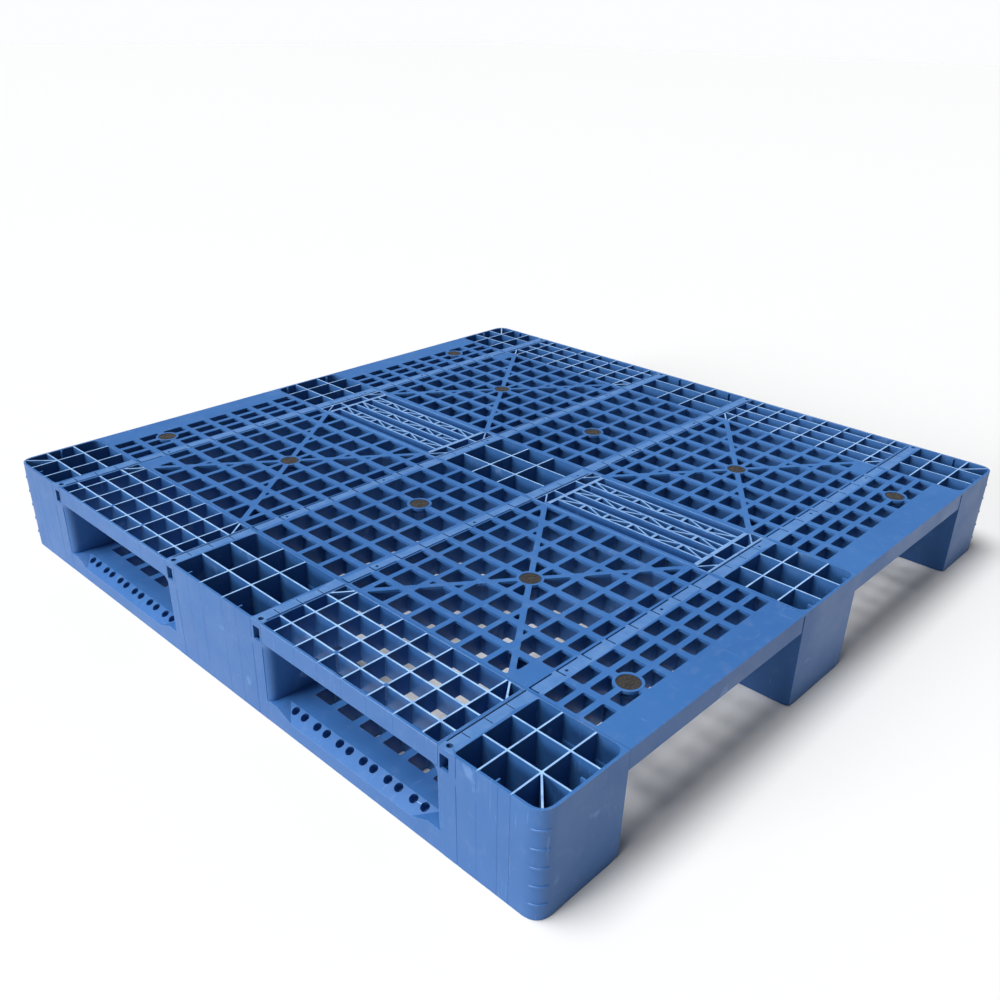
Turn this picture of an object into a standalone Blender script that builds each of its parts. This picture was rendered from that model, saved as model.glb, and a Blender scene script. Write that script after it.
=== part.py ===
"""A square grid-deck plastic pallet on three runners, with four steel tubes laid in its deck.

Run with: blender --background --python part.py
Units are metres, +Z is up and the origin is on the ground at the middle of the pallet.
The runners lie along Y. Forks enter between the legs along Y, and through the side windows along X.
"""

import math

import bmesh
import bpy
from mathutils import Matrix, Vector

# ---- driving dimensions -------------------------------------------------------------------------
LENGTH_X = 1.200
LENGTH_Y = 1.200
HEIGHT = 0.155
JOINT_GAP = 0.0003

# Deck
DECK_DEPTH = 0.030
SPAN_DEPTH = 0.029
BEAM_DEPTH = 0.036
COLUMNS = 8
END_LEG_X = 0.1414
MIDDLE_LEG_HALF_X = 0.076
WEB_X = 0.0100
WEB_Y = 0.0083
WINDOW_ROWS = 6
ROW_PITCH = 0.0463
SHORT_ROW = 0.0200
END_ROWS = 3
END_ROW = 0.0205
END_ROW_PITCH = 0.0295
BAND_EDGE = 0.0036
ARM_WIDTH = 0.0090
ARM_DEPTH = 0.024
ARM_PAST_PANEL = 0.0368

# Cross tubes and the bands that hold them
BAND_WIDTH = 0.0195
END_BAND_FROM_EDGE = 0.1417
TUBE_WIDTH = 0.0120
TUBE_HEIGHT = 0.0220
TUBE_WALL = 0.0015
TUBE_CLEARANCE = 0.0010
TUBE_INSET = 0.0200
BAND_SKIN = 0.0090
END_CAP_DEPTH = 0.0120
END_CAP_FLANGE = 0.0030

# Legs
OUTER_WALL = 0.0040
RIB = 0.0030
LEG_WALL = 0.0050
LEG_FLOOR = 0.0035
CORNER_ROUND = 0.0255
LEG_ROUND = 0.0150
LEG_DRAFT = 0.0020
LEG_SHOULDER = 0.0090
CORNER_CELLS_Y = (0.0443, 0.0933)
MIDDLE_RIB_Y = 0.0270
MIDDLE_RIB_X = 0.0270
ARC_STEPS = 3

# Cellular spans over the side windows
SPAN_COLUMNS = 4
SPAN_RIB_FROM_EDGE = 0.0308
SPAN_RIB_PITCH = 0.0377

# Runners
RUNNER_HEIGHT = 0.0330
RUNNER_LIP = 0.0215
RAMP_REACH = 0.0215
RAMP_END = 0.0280
RAMP_FROM_LEG = 0.0110
SOLE = 0.0120
RUNNER_SLOT_X = 0.0340
RUNNER_SLOT_Y = 0.0340

# Ribbed span over the middle runner's windows
CHANNELS = 4
CHANNEL_WIDTH = 0.0195
CHANNEL_DEPTH = 0.0200
TRUSS_WIDTH = 0.0200

# Anti-slip plugs
PLUG_RADIUS = 0.0150
PLUG_CAP = 0.0060
PLUG_STEM_RADIUS = 0.0100
PLUG_STEM = 0.0180
BOSS_RADIUS = 0.0195
PLUG_CLEARANCE = 0.0004
PLUG_SIDES = 16

# ---- places worked out from them ----------------------------------------------------------------
HALF_X = LENGTH_X / 2
HALF_Y = LENGTH_Y / 2
LEG_INNER_X = HALF_X - END_LEG_X
COLUMN_PITCH = (LEG_INNER_X - MIDDLE_LEG_HALF_X) / COLUMNS
DECK_BOTTOM = HEIGHT - DECK_DEPTH
END_BAND_Y = HALF_Y - END_BAND_FROM_EDGE
GRID_OUTER_Y = END_BAND_Y - BAND_WIDTH / 2 - BAND_EDGE - SHORT_ROW - WEB_Y / 2
GRID_INNER_Y = GRID_OUTER_Y - WINDOW_ROWS * ROW_PITCH
GRID_MIDDLE_Y = (GRID_INNER_Y + GRID_OUTER_Y) / 2
MIDDLE_BAND_Y = GRID_INNER_Y - WEB_Y / 2 - SHORT_ROW - BAND_EDGE / 2 - BAND_WIDTH / 2
SPAN_LOW_Y = MIDDLE_BAND_Y + BAND_WIDTH / 2
SPAN_HIGH_Y = END_BAND_Y - BAND_WIDTH / 2
JAMB_INNER_Y = SPAN_LOW_Y + LEG_SHOULDER
JAMB_OUTER_Y = SPAN_HIGH_Y - LEG_SHOULDER
TUBE_Z = HEIGHT - BAND_SKIN - TUBE_CLEARANCE - TUBE_HEIGHT / 2
CHANNEL_HALF_WIDTH = TUBE_WIDTH / 2 + TUBE_CLEARANCE
CHANNEL_HALF_HEIGHT = TUBE_HEIGHT / 2 + TUBE_CLEARANCE
TUBE_HALF_LENGTH = HALF_X - TUBE_INSET
# The short row past the large openings; its last opening is plain where a cross arm ends.
PLATE_ROW = 3 + WINDOW_ROWS
BEYOND = 0.010

BLUE = (0.030, 0.130, 0.420)
STEEL = (0.55, 0.56, 0.58)
BLACK = (0.020, 0.020, 0.022)


def clear_scene():
    for old in list(bpy.data.objects):
        bpy.data.objects.remove(old)


def new_collection(name):
    made = bpy.data.collections.new(name)
    bpy.context.scene.collection.children.link(made)
    return made


def new_material(name, colour, roughness, metallic=0.0):
    made = bpy.data.materials.new(name)
    made.use_nodes = True
    shader = made.node_tree.nodes["Principled BSDF"]
    shader.inputs["Base Color"].default_value = (*colour, 1.0)
    shader.inputs["Roughness"].default_value = roughness
    shader.inputs["Metallic"].default_value = metallic
    return made


def add_object(name, bm, collection, material=None):
    """Turns a bmesh into an object in this collection."""
    mesh = bpy.data.meshes.new(name)
    bmesh.ops.recalc_face_normals(bm, faces=bm.faces)
    bm.to_mesh(mesh)
    bm.free()
    if material is not None:
        mesh.materials.append(material)
    made = bpy.data.objects.new(name, mesh)
    collection.objects.link(made)
    return made


def add_box(bm, low, high):
    """Adds a box between two corners and returns its vertices."""
    low, high = Vector(low), Vector(high)
    place = Matrix.Translation((low + high) / 2) @ Matrix.Diagonal((*(high - low), 1.0))
    return bmesh.ops.create_cube(bm, size=1.0, matrix=place)["verts"]


def add_cylinder(bm, radius, low_z, high_z, centre, sides=PLUG_SIDES):
    """Adds an upright cylinder and returns its vertices."""
    place = Matrix.Translation((centre[0], centre[1], (low_z + high_z) / 2))
    return bmesh.ops.create_cone(
        bm, cap_ends=True, segments=sides, radius1=radius, radius2=radius,
        depth=high_z - low_z, matrix=place,
    )["verts"]


def round_uprights(bm, corners, radius):
    """Rounds the upright edges that stand at these (x, y) corners."""
    chosen = []
    for edge in bm.edges:
        a, b = (v.co for v in edge.verts)
        upright = (a - b).xy.length < 1e-6
        if upright and any((a.xy - Vector(corner)).length < 1e-5 for corner in corners):
            chosen.append(edge)
    bmesh.ops.bevel(bm, geom=chosen, offset=radius, segments=ARC_STEPS, affect="EDGES", profile=0.5)


def combine(target, others, operation):
    """Applies a Boolean with each helper object to the target, and keeps only the target."""
    for other in others:
        modifier = target.modifiers.new(operation.lower(), "BOOLEAN")
        modifier.operation = operation
        modifier.solver = "EXACT"
        modifier.use_self = operation == "UNION"
        modifier.object = other
        graph = bpy.context.evaluated_depsgraph_get()
        made = bpy.data.meshes.new_from_object(target.evaluated_get(graph))
        target.modifiers.clear()
        old = target.data
        target.data = made
        bpy.data.meshes.remove(old)
        bpy.data.objects.remove(other)


def cell_rows():
    """The deck's rows of openings for y > 0, as (low y, high y), from the middle out."""
    middle_pitch = (MIDDLE_BAND_Y - BAND_WIDTH / 2) / 2
    rows = [(k * middle_pitch + WEB_Y / 2, (k + 1) * middle_pitch - WEB_Y / 2) for k in range(2)]
    rows.append((GRID_INNER_Y - WEB_Y / 2 - SHORT_ROW, GRID_INNER_Y - WEB_Y / 2))
    for k in range(WINDOW_ROWS):
        low = GRID_INNER_Y + k * ROW_PITCH + WEB_Y / 2
        rows.append((low, low + ROW_PITCH - WEB_Y))
    rows.append((GRID_OUTER_Y + WEB_Y / 2, GRID_OUTER_Y + WEB_Y / 2 + SHORT_ROW))
    for k in range(END_ROWS):
        low = END_BAND_Y + BAND_WIDTH / 2 + WEB_Y / 4 + k * END_ROW_PITCH
        rows.append((low, low + END_ROW))
    return rows


def column_line(k):
    """x of the web centre between deck columns k - 1 and k, for x > 0."""
    return MIDDLE_LEG_HALF_X + k * COLUMN_PITCH


def plug_places():
    """The centres of the anti-slip plugs for x > 0."""
    rows = cell_rows()
    end_web = (rows[-2][1] + rows[-1][0]) / 2
    places = {"middle": (column_line(3), 0.0)}
    for side, sign in (("front", -1), ("rear", 1)):
        places[f"{side}_edge"] = (column_line(6), sign * end_web)
        places[f"{side}_cross"] = (column_line(4), sign * GRID_MIDDLE_Y)
    return places


def tube_channels(low_x, high_x, lines, cutters):
    """The channels that the cross tubes lie in, between two x values."""
    bm = bmesh.new()
    for y in lines:
        add_box(
            bm,
            (low_x, y - CHANNEL_HALF_WIDTH, TUBE_Z - CHANNEL_HALF_HEIGHT),
            (high_x, y + CHANNEL_HALF_WIDTH, TUBE_Z + CHANNEL_HALF_HEIGHT),
        )
    return add_object("tube_channels", bm, cutters)


def deck_panel(side, sign, parts, cutters, material):
    """One perforated deck panel between two lines of legs, with its cross arms and plug bosses."""
    low_x = MIDDLE_LEG_HALF_X + JOINT_GAP
    high_x = LEG_INNER_X - JOINT_GAP
    bm = bmesh.new()
    add_box(bm, (low_x, -HALF_Y, DECK_BOTTOM), (high_x, HALF_Y, HEIGHT))
    panel = add_object(f"deck_panel_{side}", bm, parts, material)
    beams = bmesh.new()
    for y in (-END_BAND_Y, -MIDDLE_BAND_Y, MIDDLE_BAND_Y, END_BAND_Y):
        low = (low_x, y - BAND_WIDTH / 2, HEIGHT - BEAM_DEPTH)
        add_box(beams, low, (high_x, y + BAND_WIDTH / 2, HEIGHT - BAND_SKIN / 2))
    combine(panel, [add_object("beams", beams, cutters)], "UNION")

    bm = bmesh.new()
    for column in range(COLUMNS):
        x0 = column_line(column) + WEB_X / 2
        x1 = column_line(column + 1) - WEB_X / 2
        for index, (y0, y1) in enumerate(cell_rows()):
            if index == PLATE_ROW and column == COLUMNS - 1:
                continue
            for facing in (-1, 1):
                ys = sorted((facing * y0, facing * y1))
                add_box(bm, (x0, ys[0], DECK_BOTTOM - BEYOND), (x1, ys[1], HEIGHT + BEYOND))
    cells = add_object("cells", bm, cutters)

    arms = bmesh.new()
    half_panel = COLUMNS * COLUMN_PITCH / 2
    reach = Vector((half_panel + ARM_PAST_PANEL, GRID_OUTER_Y - GRID_MIDDLE_Y + END_ROW_PITCH))
    arm_length = 2 * (half_panel - WEB_X / 2) * reach.length / reach.x
    for facing in (-1, 1):
        for slope in (-1, 1):
            centre = Vector((column_line(4), facing * GRID_MIDDLE_Y, HEIGHT - ARM_DEPTH / 2))
            turn = Matrix.Rotation(math.atan2(slope * reach.y, reach.x), 4, "Z")
            size = Matrix.Diagonal((arm_length, ARM_WIDTH, ARM_DEPTH, 1.0))
            bmesh.ops.create_cube(arms, size=1.0, matrix=Matrix.Translation(centre) @ turn @ size)
    combine(panel, [cells], "DIFFERENCE")
    combine(panel, [add_object("arms", arms, cutters)], "UNION")

    bosses, seats = bmesh.new(), bmesh.new()
    for x, y in plug_places().values():
        add_cylinder(bosses, BOSS_RADIUS, DECK_BOTTOM, HEIGHT, (x, y))
        seat_z = HEIGHT - PLUG_CAP - PLUG_CLEARANCE
        add_cylinder(seats, PLUG_RADIUS + PLUG_CLEARANCE, seat_z, HEIGHT + BEYOND, (x, y))
    stems = bmesh.new()
    for x, y in plug_places().values():
        add_cylinder(stems, PLUG_STEM_RADIUS + PLUG_CLEARANCE, DECK_BOTTOM - BEYOND, HEIGHT, (x, y))
    combine(panel, [add_object("bosses", bosses, cutters)], "UNION")
    combine(panel, [add_object("seats", seats, cutters), add_object("stems", stems, cutters)], "DIFFERENCE")
    lines = (-END_BAND_Y, -MIDDLE_BAND_Y, MIDDLE_BAND_Y, END_BAND_Y)
    combine(panel, [tube_channels(low_x - BEYOND, high_x + BEYOND, lines, cutters)], "DIFFERENCE")
    mirror_to(panel, sign)


def mirror_to(made, sign):
    """Turns a piece that was made at x > 0 half a turn about Z, for the other side."""
    if sign < 0:
        made.data.transform(Matrix.Rotation(math.pi, 4, "Z"))


def taper(bm, centre, half):
    """Draws the bottom of a leg in by its moulding draft."""
    for v in bm.verts:
        if v.co.z < HEIGHT / 2:
            for k in range(2):
                v.co[k] = centre[k] + (v.co[k] - centre[k]) * (half[k] - LEG_DRAFT) / half[k]


def leg_body(name, box_x, box_y, jambs, parts, cutters, material):
    """The outside of one leg: a block up to the deck's top face, and a wider foot below the spans."""
    (x0, x1), (y0, y1) = box_x, box_y
    foot_y = [y0 - LEG_SHOULDER if -1 in jambs else y0, y1 + LEG_SHOULDER if 1 in jambs else y1]
    shoulder_z = HEIGHT - SPAN_DEPTH - JOINT_GAP
    foot = bmesh.new()
    add_box(foot, (x0, foot_y[0], 0.0), (x1, foot_y[1], shoulder_z))
    for x in box_x:
        for y in foot_y:
            outer = abs(x) > HALF_X - BEYOND and abs(y) > HALF_Y - BEYOND
            round_uprights(foot, [(x, y)], CORNER_ROUND if outer else LEG_ROUND)
    middle = ((x0 + x1) / 2, (foot_y[0] + foot_y[1]) / 2)
    taper(foot, middle, ((x1 - x0) / 2, (foot_y[1] - foot_y[0]) / 2))
    leg = add_object(name, foot, parts, material)

    block = bmesh.new()
    add_box(block, (x0, y0, shoulder_z - BEYOND), (x1, y1, HEIGHT))
    for x in box_x:
        for y in box_y:
            if abs(x) > HALF_X - BEYOND and abs(y) > HALF_Y - BEYOND:
                round_uprights(block, [(x, y)], CORNER_ROUND)
    combine(leg, [add_object("block", block, cutters)], "UNION")
    return leg, foot_y


def make_leg(name, box_x, box_y, jambs, cells, bands, parts, cutters, material):
    """A hollow leg: deep cells from the top, wells from below, and a recess for the runner's sole."""
    (x0, x1), (y0, y1) = box_x, box_y
    leg, foot_y = leg_body(name, box_x, box_y, jambs, parts, cutters, material)
    sole_top = SOLE + JOINT_GAP

    hollow = bmesh.new()
    xs, ys = cells
    for cell_x0, cell_x1 in zip(xs, xs[1:]):
        for cell_y0, cell_y1 in zip(ys, ys[1:]):
            low = (cell_x0 + RIB / 2, cell_y0 + RIB / 2, sole_top + LEG_FLOOR)
            add_box(hollow, low, (cell_x1 - RIB / 2, cell_y1 - RIB / 2, HEIGHT + BEYOND))
    for x, inward in ((x0, 1), (x1, -1)):
        for y in box_y:
            if abs(y) < HALF_Y - BEYOND:
                continue
            end_y = math.copysign(HALF_Y - OUTER_WALL, y)
            if abs(x) > HALF_X - BEYOND:
                round_uprights(hollow, [(x + inward * OUTER_WALL, end_y)], CORNER_ROUND - OUTER_WALL)
            else:
                round_uprights(hollow, [(x + inward * RIB, end_y)], LEG_ROUND - LEG_DRAFT / 2)
    combine(leg, [add_object("hollow", hollow, cutters)], "DIFFERENCE")

    under = bmesh.new()
    low = (x0 + LEG_WALL, foot_y[0] + LEG_WALL, -BEYOND)
    add_box(under, low, (x1 - LEG_WALL, foot_y[1] - LEG_WALL, sole_top))
    for x in (x0 + LEG_WALL, x1 - LEG_WALL):
        for y in (foot_y[0] + LEG_WALL, foot_y[1] - LEG_WALL):
            round_uprights(under, [(x, y)], CORNER_ROUND - LEG_WALL)
    combine(leg, [add_object("under", under, cutters)], "DIFFERENCE")
    for way in jambs:
        edge = foot_y[0] if way < 0 else foot_y[1]
        neck_way = bmesh.new()
        neck = LEG_ROUND + LEG_WALL
        low_y, high_y = sorted((edge - way * 2 * LEG_ROUND, edge + way * BEYOND))
        add_box(neck_way, (x0 + neck, low_y, -BEYOND), (x1 - neck, high_y, sole_top))
        combine(leg, [add_object("neck_way", neck_way, cutters)], "DIFFERENCE")
    wells = bmesh.new()
    for y, way in bands:
        inner = y - way * (BAND_WIDTH / 2 - RIB / 2)
        outer = y + way * (BAND_WIDTH / 2 + LEG_SHOULDER - LEG_WALL - RIB)
        low_y, high_y = sorted((inner, outer))
        low = (x0 + LEG_ROUND, low_y, sole_top - BEYOND)
        add_box(wells, low, (x1 - LEG_ROUND, high_y, HEIGHT - BEAM_DEPTH - LEG_WALL))
    combine(leg, [add_object("wells", wells, cutters)], "DIFFERENCE")
    lines = [y for y, _ in bands]
    combine(leg, [tube_channels(x0 - BEYOND, x1 + BEYOND, lines, cutters)], "DIFFERENCE")


def leg_lines():
    """For each line of legs: its range in x, and the x lines of its cells."""
    right = (
        LEG_INNER_X + RIB / 2,
        LEG_INNER_X + END_LEG_X / 3,
        LEG_INNER_X + 2 * END_LEG_X / 3,
        HALF_X - OUTER_WALL + RIB / 2,
    )
    middle = MIDDLE_LEG_HALF_X - RIB / 2
    return {
        "left": ((-HALF_X, -LEG_INNER_X), tuple(-x for x in reversed(right))),
        "centre": ((-MIDDLE_LEG_HALF_X, MIDDLE_LEG_HALF_X), (-middle, -MIDDLE_RIB_X, MIDDLE_RIB_X, middle)),
        "right": ((LEG_INNER_X, HALF_X), right),
    }


def all_legs(parts, cutters, material):
    """The nine legs, in three lines along Y."""
    middle_block = MIDDLE_BAND_Y - BAND_WIDTH / 2 - RIB / 2
    middle_y = (-middle_block, -MIDDLE_RIB_Y, MIDDLE_RIB_Y, middle_block)
    cells_y = [HALF_Y - y for y in reversed(CORNER_CELLS_Y)]
    end_y = (END_BAND_Y + BAND_WIDTH / 2 + RIB / 2, *cells_y, HALF_Y - OUTER_WALL + RIB / 2)
    for line, (box_x, xs) in leg_lines().items():
        name = f"leg_middle_{line}"
        bands = ((-MIDDLE_BAND_Y, -1), (MIDDLE_BAND_Y, 1))
        box_y = (-SPAN_LOW_Y, SPAN_LOW_Y)
        make_leg(name, box_x, box_y, (-1, 1), (xs, middle_y), bands, parts, cutters, material)
        for row, sign in (("front", -1), ("rear", 1)):
            name = f"leg_{row}_{line}"
            ys = end_y if sign > 0 else tuple(-y for y in reversed(end_y))
            box_y = tuple(sorted((sign * SPAN_HIGH_Y, sign * HALF_Y)))
            bands = ((sign * END_BAND_Y, -sign),)
            make_leg(name, box_x, box_y, (-sign,), (xs, ys), bands, parts, cutters, material)


def span_rows(facing):
    """The rows of openings in a span, from its short row to its other short row."""
    found = cell_rows()[2:3 + WINDOW_ROWS + 1]
    return [tuple(sorted((facing * low, facing * high))) for low, high in found]


def window_spans(parts, cutters, material):
    """The cellular spans of the deck over the side windows, on both outer lines."""
    low = SPAN_LOW_Y + JOINT_GAP
    high = SPAN_HIGH_Y - JOINT_GAP
    ribs = [HALF_X - SPAN_RIB_FROM_EDGE - k * SPAN_RIB_PITCH for k in range(SPAN_COLUMNS - 1)]
    lines = [HALF_X - OUTER_WALL + RIB / 2, *ribs, LEG_INNER_X + RIB / 2]
    for line, side in (("left", -1), ("right", 1)):
        for row, facing in (("front", -1), ("rear", 1)):
            bm = bmesh.new()
            xs = sorted((side * LEG_INNER_X, side * HALF_X))
            ys = sorted((facing * low, facing * high))
            add_box(bm, (xs[0], ys[0], HEIGHT - SPAN_DEPTH), (xs[1], ys[1], HEIGHT))
            span = add_object(f"window_span_{row}_{line}", bm, parts, material)
            bm = bmesh.new()
            for outer, inner in zip(lines, lines[1:]):
                x0, x1 = sorted((side * (outer - RIB / 2), side * (inner + RIB / 2)))
                for y0, y1 in span_rows(facing):
                    widen = (WEB_Y - RIB) / 2 if y1 - y0 > SHORT_ROW + RIB else 0.0
                    y0, y1 = y0 - widen, y1 + widen
                    add_box(bm, (x0, y0, HEIGHT - SPAN_DEPTH - BEYOND), (x1, y1, HEIGHT + BEYOND))
            combine(span, [add_object("span_cells", bm, cutters)], "DIFFERENCE")


def ribbed_spans(parts, cutters, material):
    """The ribbed spans over the middle runner's windows: long channels between truss strips."""
    low = SPAN_LOW_Y + JOINT_GAP
    high = SPAN_HIGH_Y - JOINT_GAP
    wide = CHANNELS * CHANNEL_WIDTH + (CHANNELS - 1) * TRUSS_WIDTH
    for row, facing in (("front", -1), ("rear", 1)):
        ys = sorted((facing * low, facing * high))
        bm = bmesh.new()
        half = MIDDLE_LEG_HALF_X
        add_box(bm, (-half, ys[0], HEIGHT - SPAN_DEPTH), (half, ys[1], HEIGHT))
        span = add_object(f"ribbed_span_{row}", bm, parts, material)
        channel_ys = sorted((facing * (GRID_INNER_Y + RIB / 2), facing * (GRID_OUTER_Y - RIB / 2)))
        bm = bmesh.new()
        for k in range(CHANNELS):
            x0 = -wide / 2 + k * (CHANNEL_WIDTH + TRUSS_WIDTH)
            low_corner = (x0, channel_ys[0], HEIGHT - CHANNEL_DEPTH)
            add_box(bm, low_corner, (x0 + CHANNEL_WIDTH, channel_ys[1], HEIGHT + BEYOND))
        for k in range(CHANNELS - 1):
            x0 = -wide / 2 + CHANNEL_WIDTH + k * (CHANNEL_WIDTH + TRUSS_WIDTH) + RIB
            for y0, y1 in span_rows(facing)[1:-1]:
                low_corner = (x0, y0, HEIGHT - SPAN_DEPTH - BEYOND)
                add_box(bm, low_corner, (x0 + TRUSS_WIDTH - 2 * RIB, y1, HEIGHT + BEYOND))
        ends = (-half + RIB, -MIDDLE_RIB_X, MIDDLE_RIB_X, half - RIB)
        for y0, y1 in (span_rows(facing)[0], span_rows(facing)[-1]):
            for x0, x1 in zip(ends, ends[1:]):
                low_corner = (x0 + RIB / 2, y0, HEIGHT - SPAN_DEPTH - BEYOND)
                add_box(bm, low_corner, (x1 - RIB / 2, y1, HEIGHT + BEYOND))
        combine(span, [add_object("span_openings", bm, cutters)], "DIFFERENCE")


def ramp_cutter(face, inward, low_y, high_y, cutters):
    """What is taken off a rail's top edge to leave a ramp with slanting ends."""
    out = -inward * LEG_WALL
    drop = (RUNNER_HEIGHT - RUNNER_LIP) * LEG_WALL / RAMP_REACH
    shrink = RAMP_END * LEG_WALL / RAMP_REACH
    top = RUNNER_HEIGHT + drop
    bm = bmesh.new()
    for y, way in ((low_y, 1), (high_y, -1)):
        bm.verts.new((face + out, y + way * (RAMP_END + shrink), RUNNER_LIP - drop))
        bm.verts.new((face + out, y - way * shrink, top))
        bm.verts.new((face + inward * (RAMP_REACH + LEG_WALL), y - way * shrink, top))
    bmesh.ops.convex_hull(bm, input=bm.verts)
    return add_object("ramp", bm, cutters)


def runner(line, box_x, parts, cutters, material):
    """One bottom runner: a sole inside each leg, and a full-width ramped rail across each window."""
    x0, x1 = box_x
    inset = LEG_WALL + JOINT_GAP + LEG_DRAFT / 2
    neck = LEG_ROUND + LEG_WALL + JOINT_GAP
    soles = (
        (-HALF_Y + inset, -JAMB_OUTER_Y - inset),
        (-JAMB_INNER_Y + inset, JAMB_INNER_Y - inset),
        (JAMB_OUTER_Y + inset, HALF_Y - inset),
    )
    bm = bmesh.new()
    add_box(bm, (x0 + neck, -HALF_Y + 3 * inset, 0.0), (x1 - neck, HALF_Y - 3 * inset, SOLE))
    made = add_object(f"runner_{line}", bm, parts, material)
    for y0, y1 in soles:
        bm = bmesh.new()
        add_box(bm, (x0 + inset, y0, 0.0), (x1 - inset, y1, SOLE))
        for x in (x0 + inset, x1 - inset):
            for y in (y0, y1):
                round_uprights(bm, [(x, y)], CORNER_ROUND - LEG_WALL)
        combine(made, [add_object("sole", bm, cutters)], "UNION")
    for facing in (-1, 1):
        ys = sorted((facing * (JAMB_INNER_Y + JOINT_GAP), facing * (JAMB_OUTER_Y - JOINT_GAP)))
        bm = bmesh.new()
        add_box(bm, (x0 + LEG_DRAFT, ys[0], 0.0), (x1 - LEG_DRAFT, ys[1], RUNNER_HEIGHT))
        rail = add_object("rail", bm, cutters)
        for face, inward in ((x0 + LEG_DRAFT, 1), (x1 - LEG_DRAFT, -1)):
            ramp = ramp_cutter(face, inward, ys[0] + RAMP_FROM_LEG, ys[1] - RAMP_FROM_LEG, cutters)
            combine(rail, [ramp], "DIFFERENCE")
        combine(made, [rail], "UNION")
    bm = bmesh.new()
    middle = (x0 + x1) / 2
    for facing in (-1, 1):
        for k in range(WINDOW_ROWS):
            y = facing * (GRID_INNER_Y + (k + 0.5) * ROW_PITCH)
            low = (middle - RUNNER_SLOT_X / 2, y - RUNNER_SLOT_Y / 2, -BEYOND)
            add_box(bm, low, (middle + RUNNER_SLOT_X / 2, y + RUNNER_SLOT_Y / 2, RUNNER_HEIGHT + BEYOND))
    combine(made, [add_object("runner_slots", bm, cutters)], "DIFFERENCE")


def cross_tubes(parts, cutters, steel, cap_plastic):
    """The four steel tubes, and the cap in each of their ends."""
    names = {
        "front": -END_BAND_Y,
        "front_middle": -MIDDLE_BAND_Y,
        "rear_middle": MIDDLE_BAND_Y,
        "rear": END_BAND_Y,
    }
    half_y, half_z = TUBE_WIDTH / 2, TUBE_HEIGHT / 2
    inner_y, inner_z = half_y - TUBE_WALL, half_z - TUBE_WALL
    body_y, body_z = inner_y - JOINT_GAP, inner_z - JOINT_GAP
    for name, y in names.items():
        bm = bmesh.new()
        low = (-TUBE_HALF_LENGTH, y - half_y, TUBE_Z - half_z)
        add_box(bm, low, (TUBE_HALF_LENGTH, y + half_y, TUBE_Z + half_z))
        tube = add_object(f"cross_tube_{name}", bm, parts, steel)
        bm = bmesh.new()
        add_box(bm, (-HALF_X, y - inner_y, TUBE_Z - inner_z), (HALF_X, y + inner_y, TUBE_Z + inner_z))
        combine(tube, [add_object("bore", bm, cutters)], "DIFFERENCE")
        for side, sign in (("left", -1), ("right", 1)):
            end = sign * (TUBE_HALF_LENGTH + JOINT_GAP)
            xs = sorted((end, end + sign * END_CAP_FLANGE))
            bm = bmesh.new()
            add_box(bm, (xs[0], y - half_y, TUBE_Z - half_z), (xs[1], y + half_y, TUBE_Z + half_z))
            cap = add_object(f"tube_cap_{name}_{side}", bm, parts, cap_plastic)
            xs = sorted((end + sign * END_CAP_FLANGE / 2, end - sign * END_CAP_DEPTH))
            bm = bmesh.new()
            add_box(bm, (xs[0], y - body_y, TUBE_Z - body_z), (xs[1], y + body_y, TUBE_Z + body_z))
            combine(cap, [add_object("cap_body", bm, cutters)], "UNION")


def anti_slip_plugs(parts, cutters, rubber):
    """Ten rubber plugs, each a round cap over a stem, set flush in the deck's bosses."""
    for side, sign in (("left", -1), ("right", 1)):
        for place, (x, y) in plug_places().items():
            centre = (sign * x, y)
            top = HEIGHT - JOINT_GAP
            bm = bmesh.new()
            add_cylinder(bm, PLUG_RADIUS, top - PLUG_CAP, top, centre)
            plug = add_object(f"anti_slip_plug_{place}_{side}", bm, parts, rubber)
            bm = bmesh.new()
            add_cylinder(bm, PLUG_STEM_RADIUS, top - PLUG_CAP - PLUG_STEM, top - PLUG_CAP / 2, centre)
            combine(plug, [add_object("stem", bm, cutters)], "UNION")


def main():
    clear_scene()
    parts = new_collection("plastic_pallet")
    cutters = new_collection("cutters")
    cutters.hide_render = True
    blue = new_material("blue_plastic", BLUE, 0.45)
    steel = new_material("galvanised_steel", STEEL, 0.35, 1.0)
    rubber = new_material("black_rubber", BLACK, 0.80)
    black = new_material("black_plastic", BLACK, 0.55)

    deck_panel("right", 1, parts, cutters, blue)
    deck_panel("left", -1, parts, cutters, blue)
    all_legs(parts, cutters, blue)
    window_spans(parts, cutters, blue)
    ribbed_spans(parts, cutters, blue)
    for line, (box_x, _) in leg_lines().items():
        runner(line, box_x, parts, cutters, blue)
    cross_tubes(parts, cutters, steel, black)
    anti_slip_plugs(parts, cutters, rubber)


main()
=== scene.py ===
"""The looks of a square blue plastic pallet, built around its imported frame.

Every length is in metres. The runners lie along Y and the steel tubes along X. Each visible piece is
built in place as one plain mesh that rides on the frame's only body and stands for one of its nodes.
"""

import logging
import math
from dataclasses import dataclass
from enum import Enum
from typing import Callable, Iterable, Sequence

import bmesh
import bpy
from mathutils import Matrix, Vector


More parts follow.
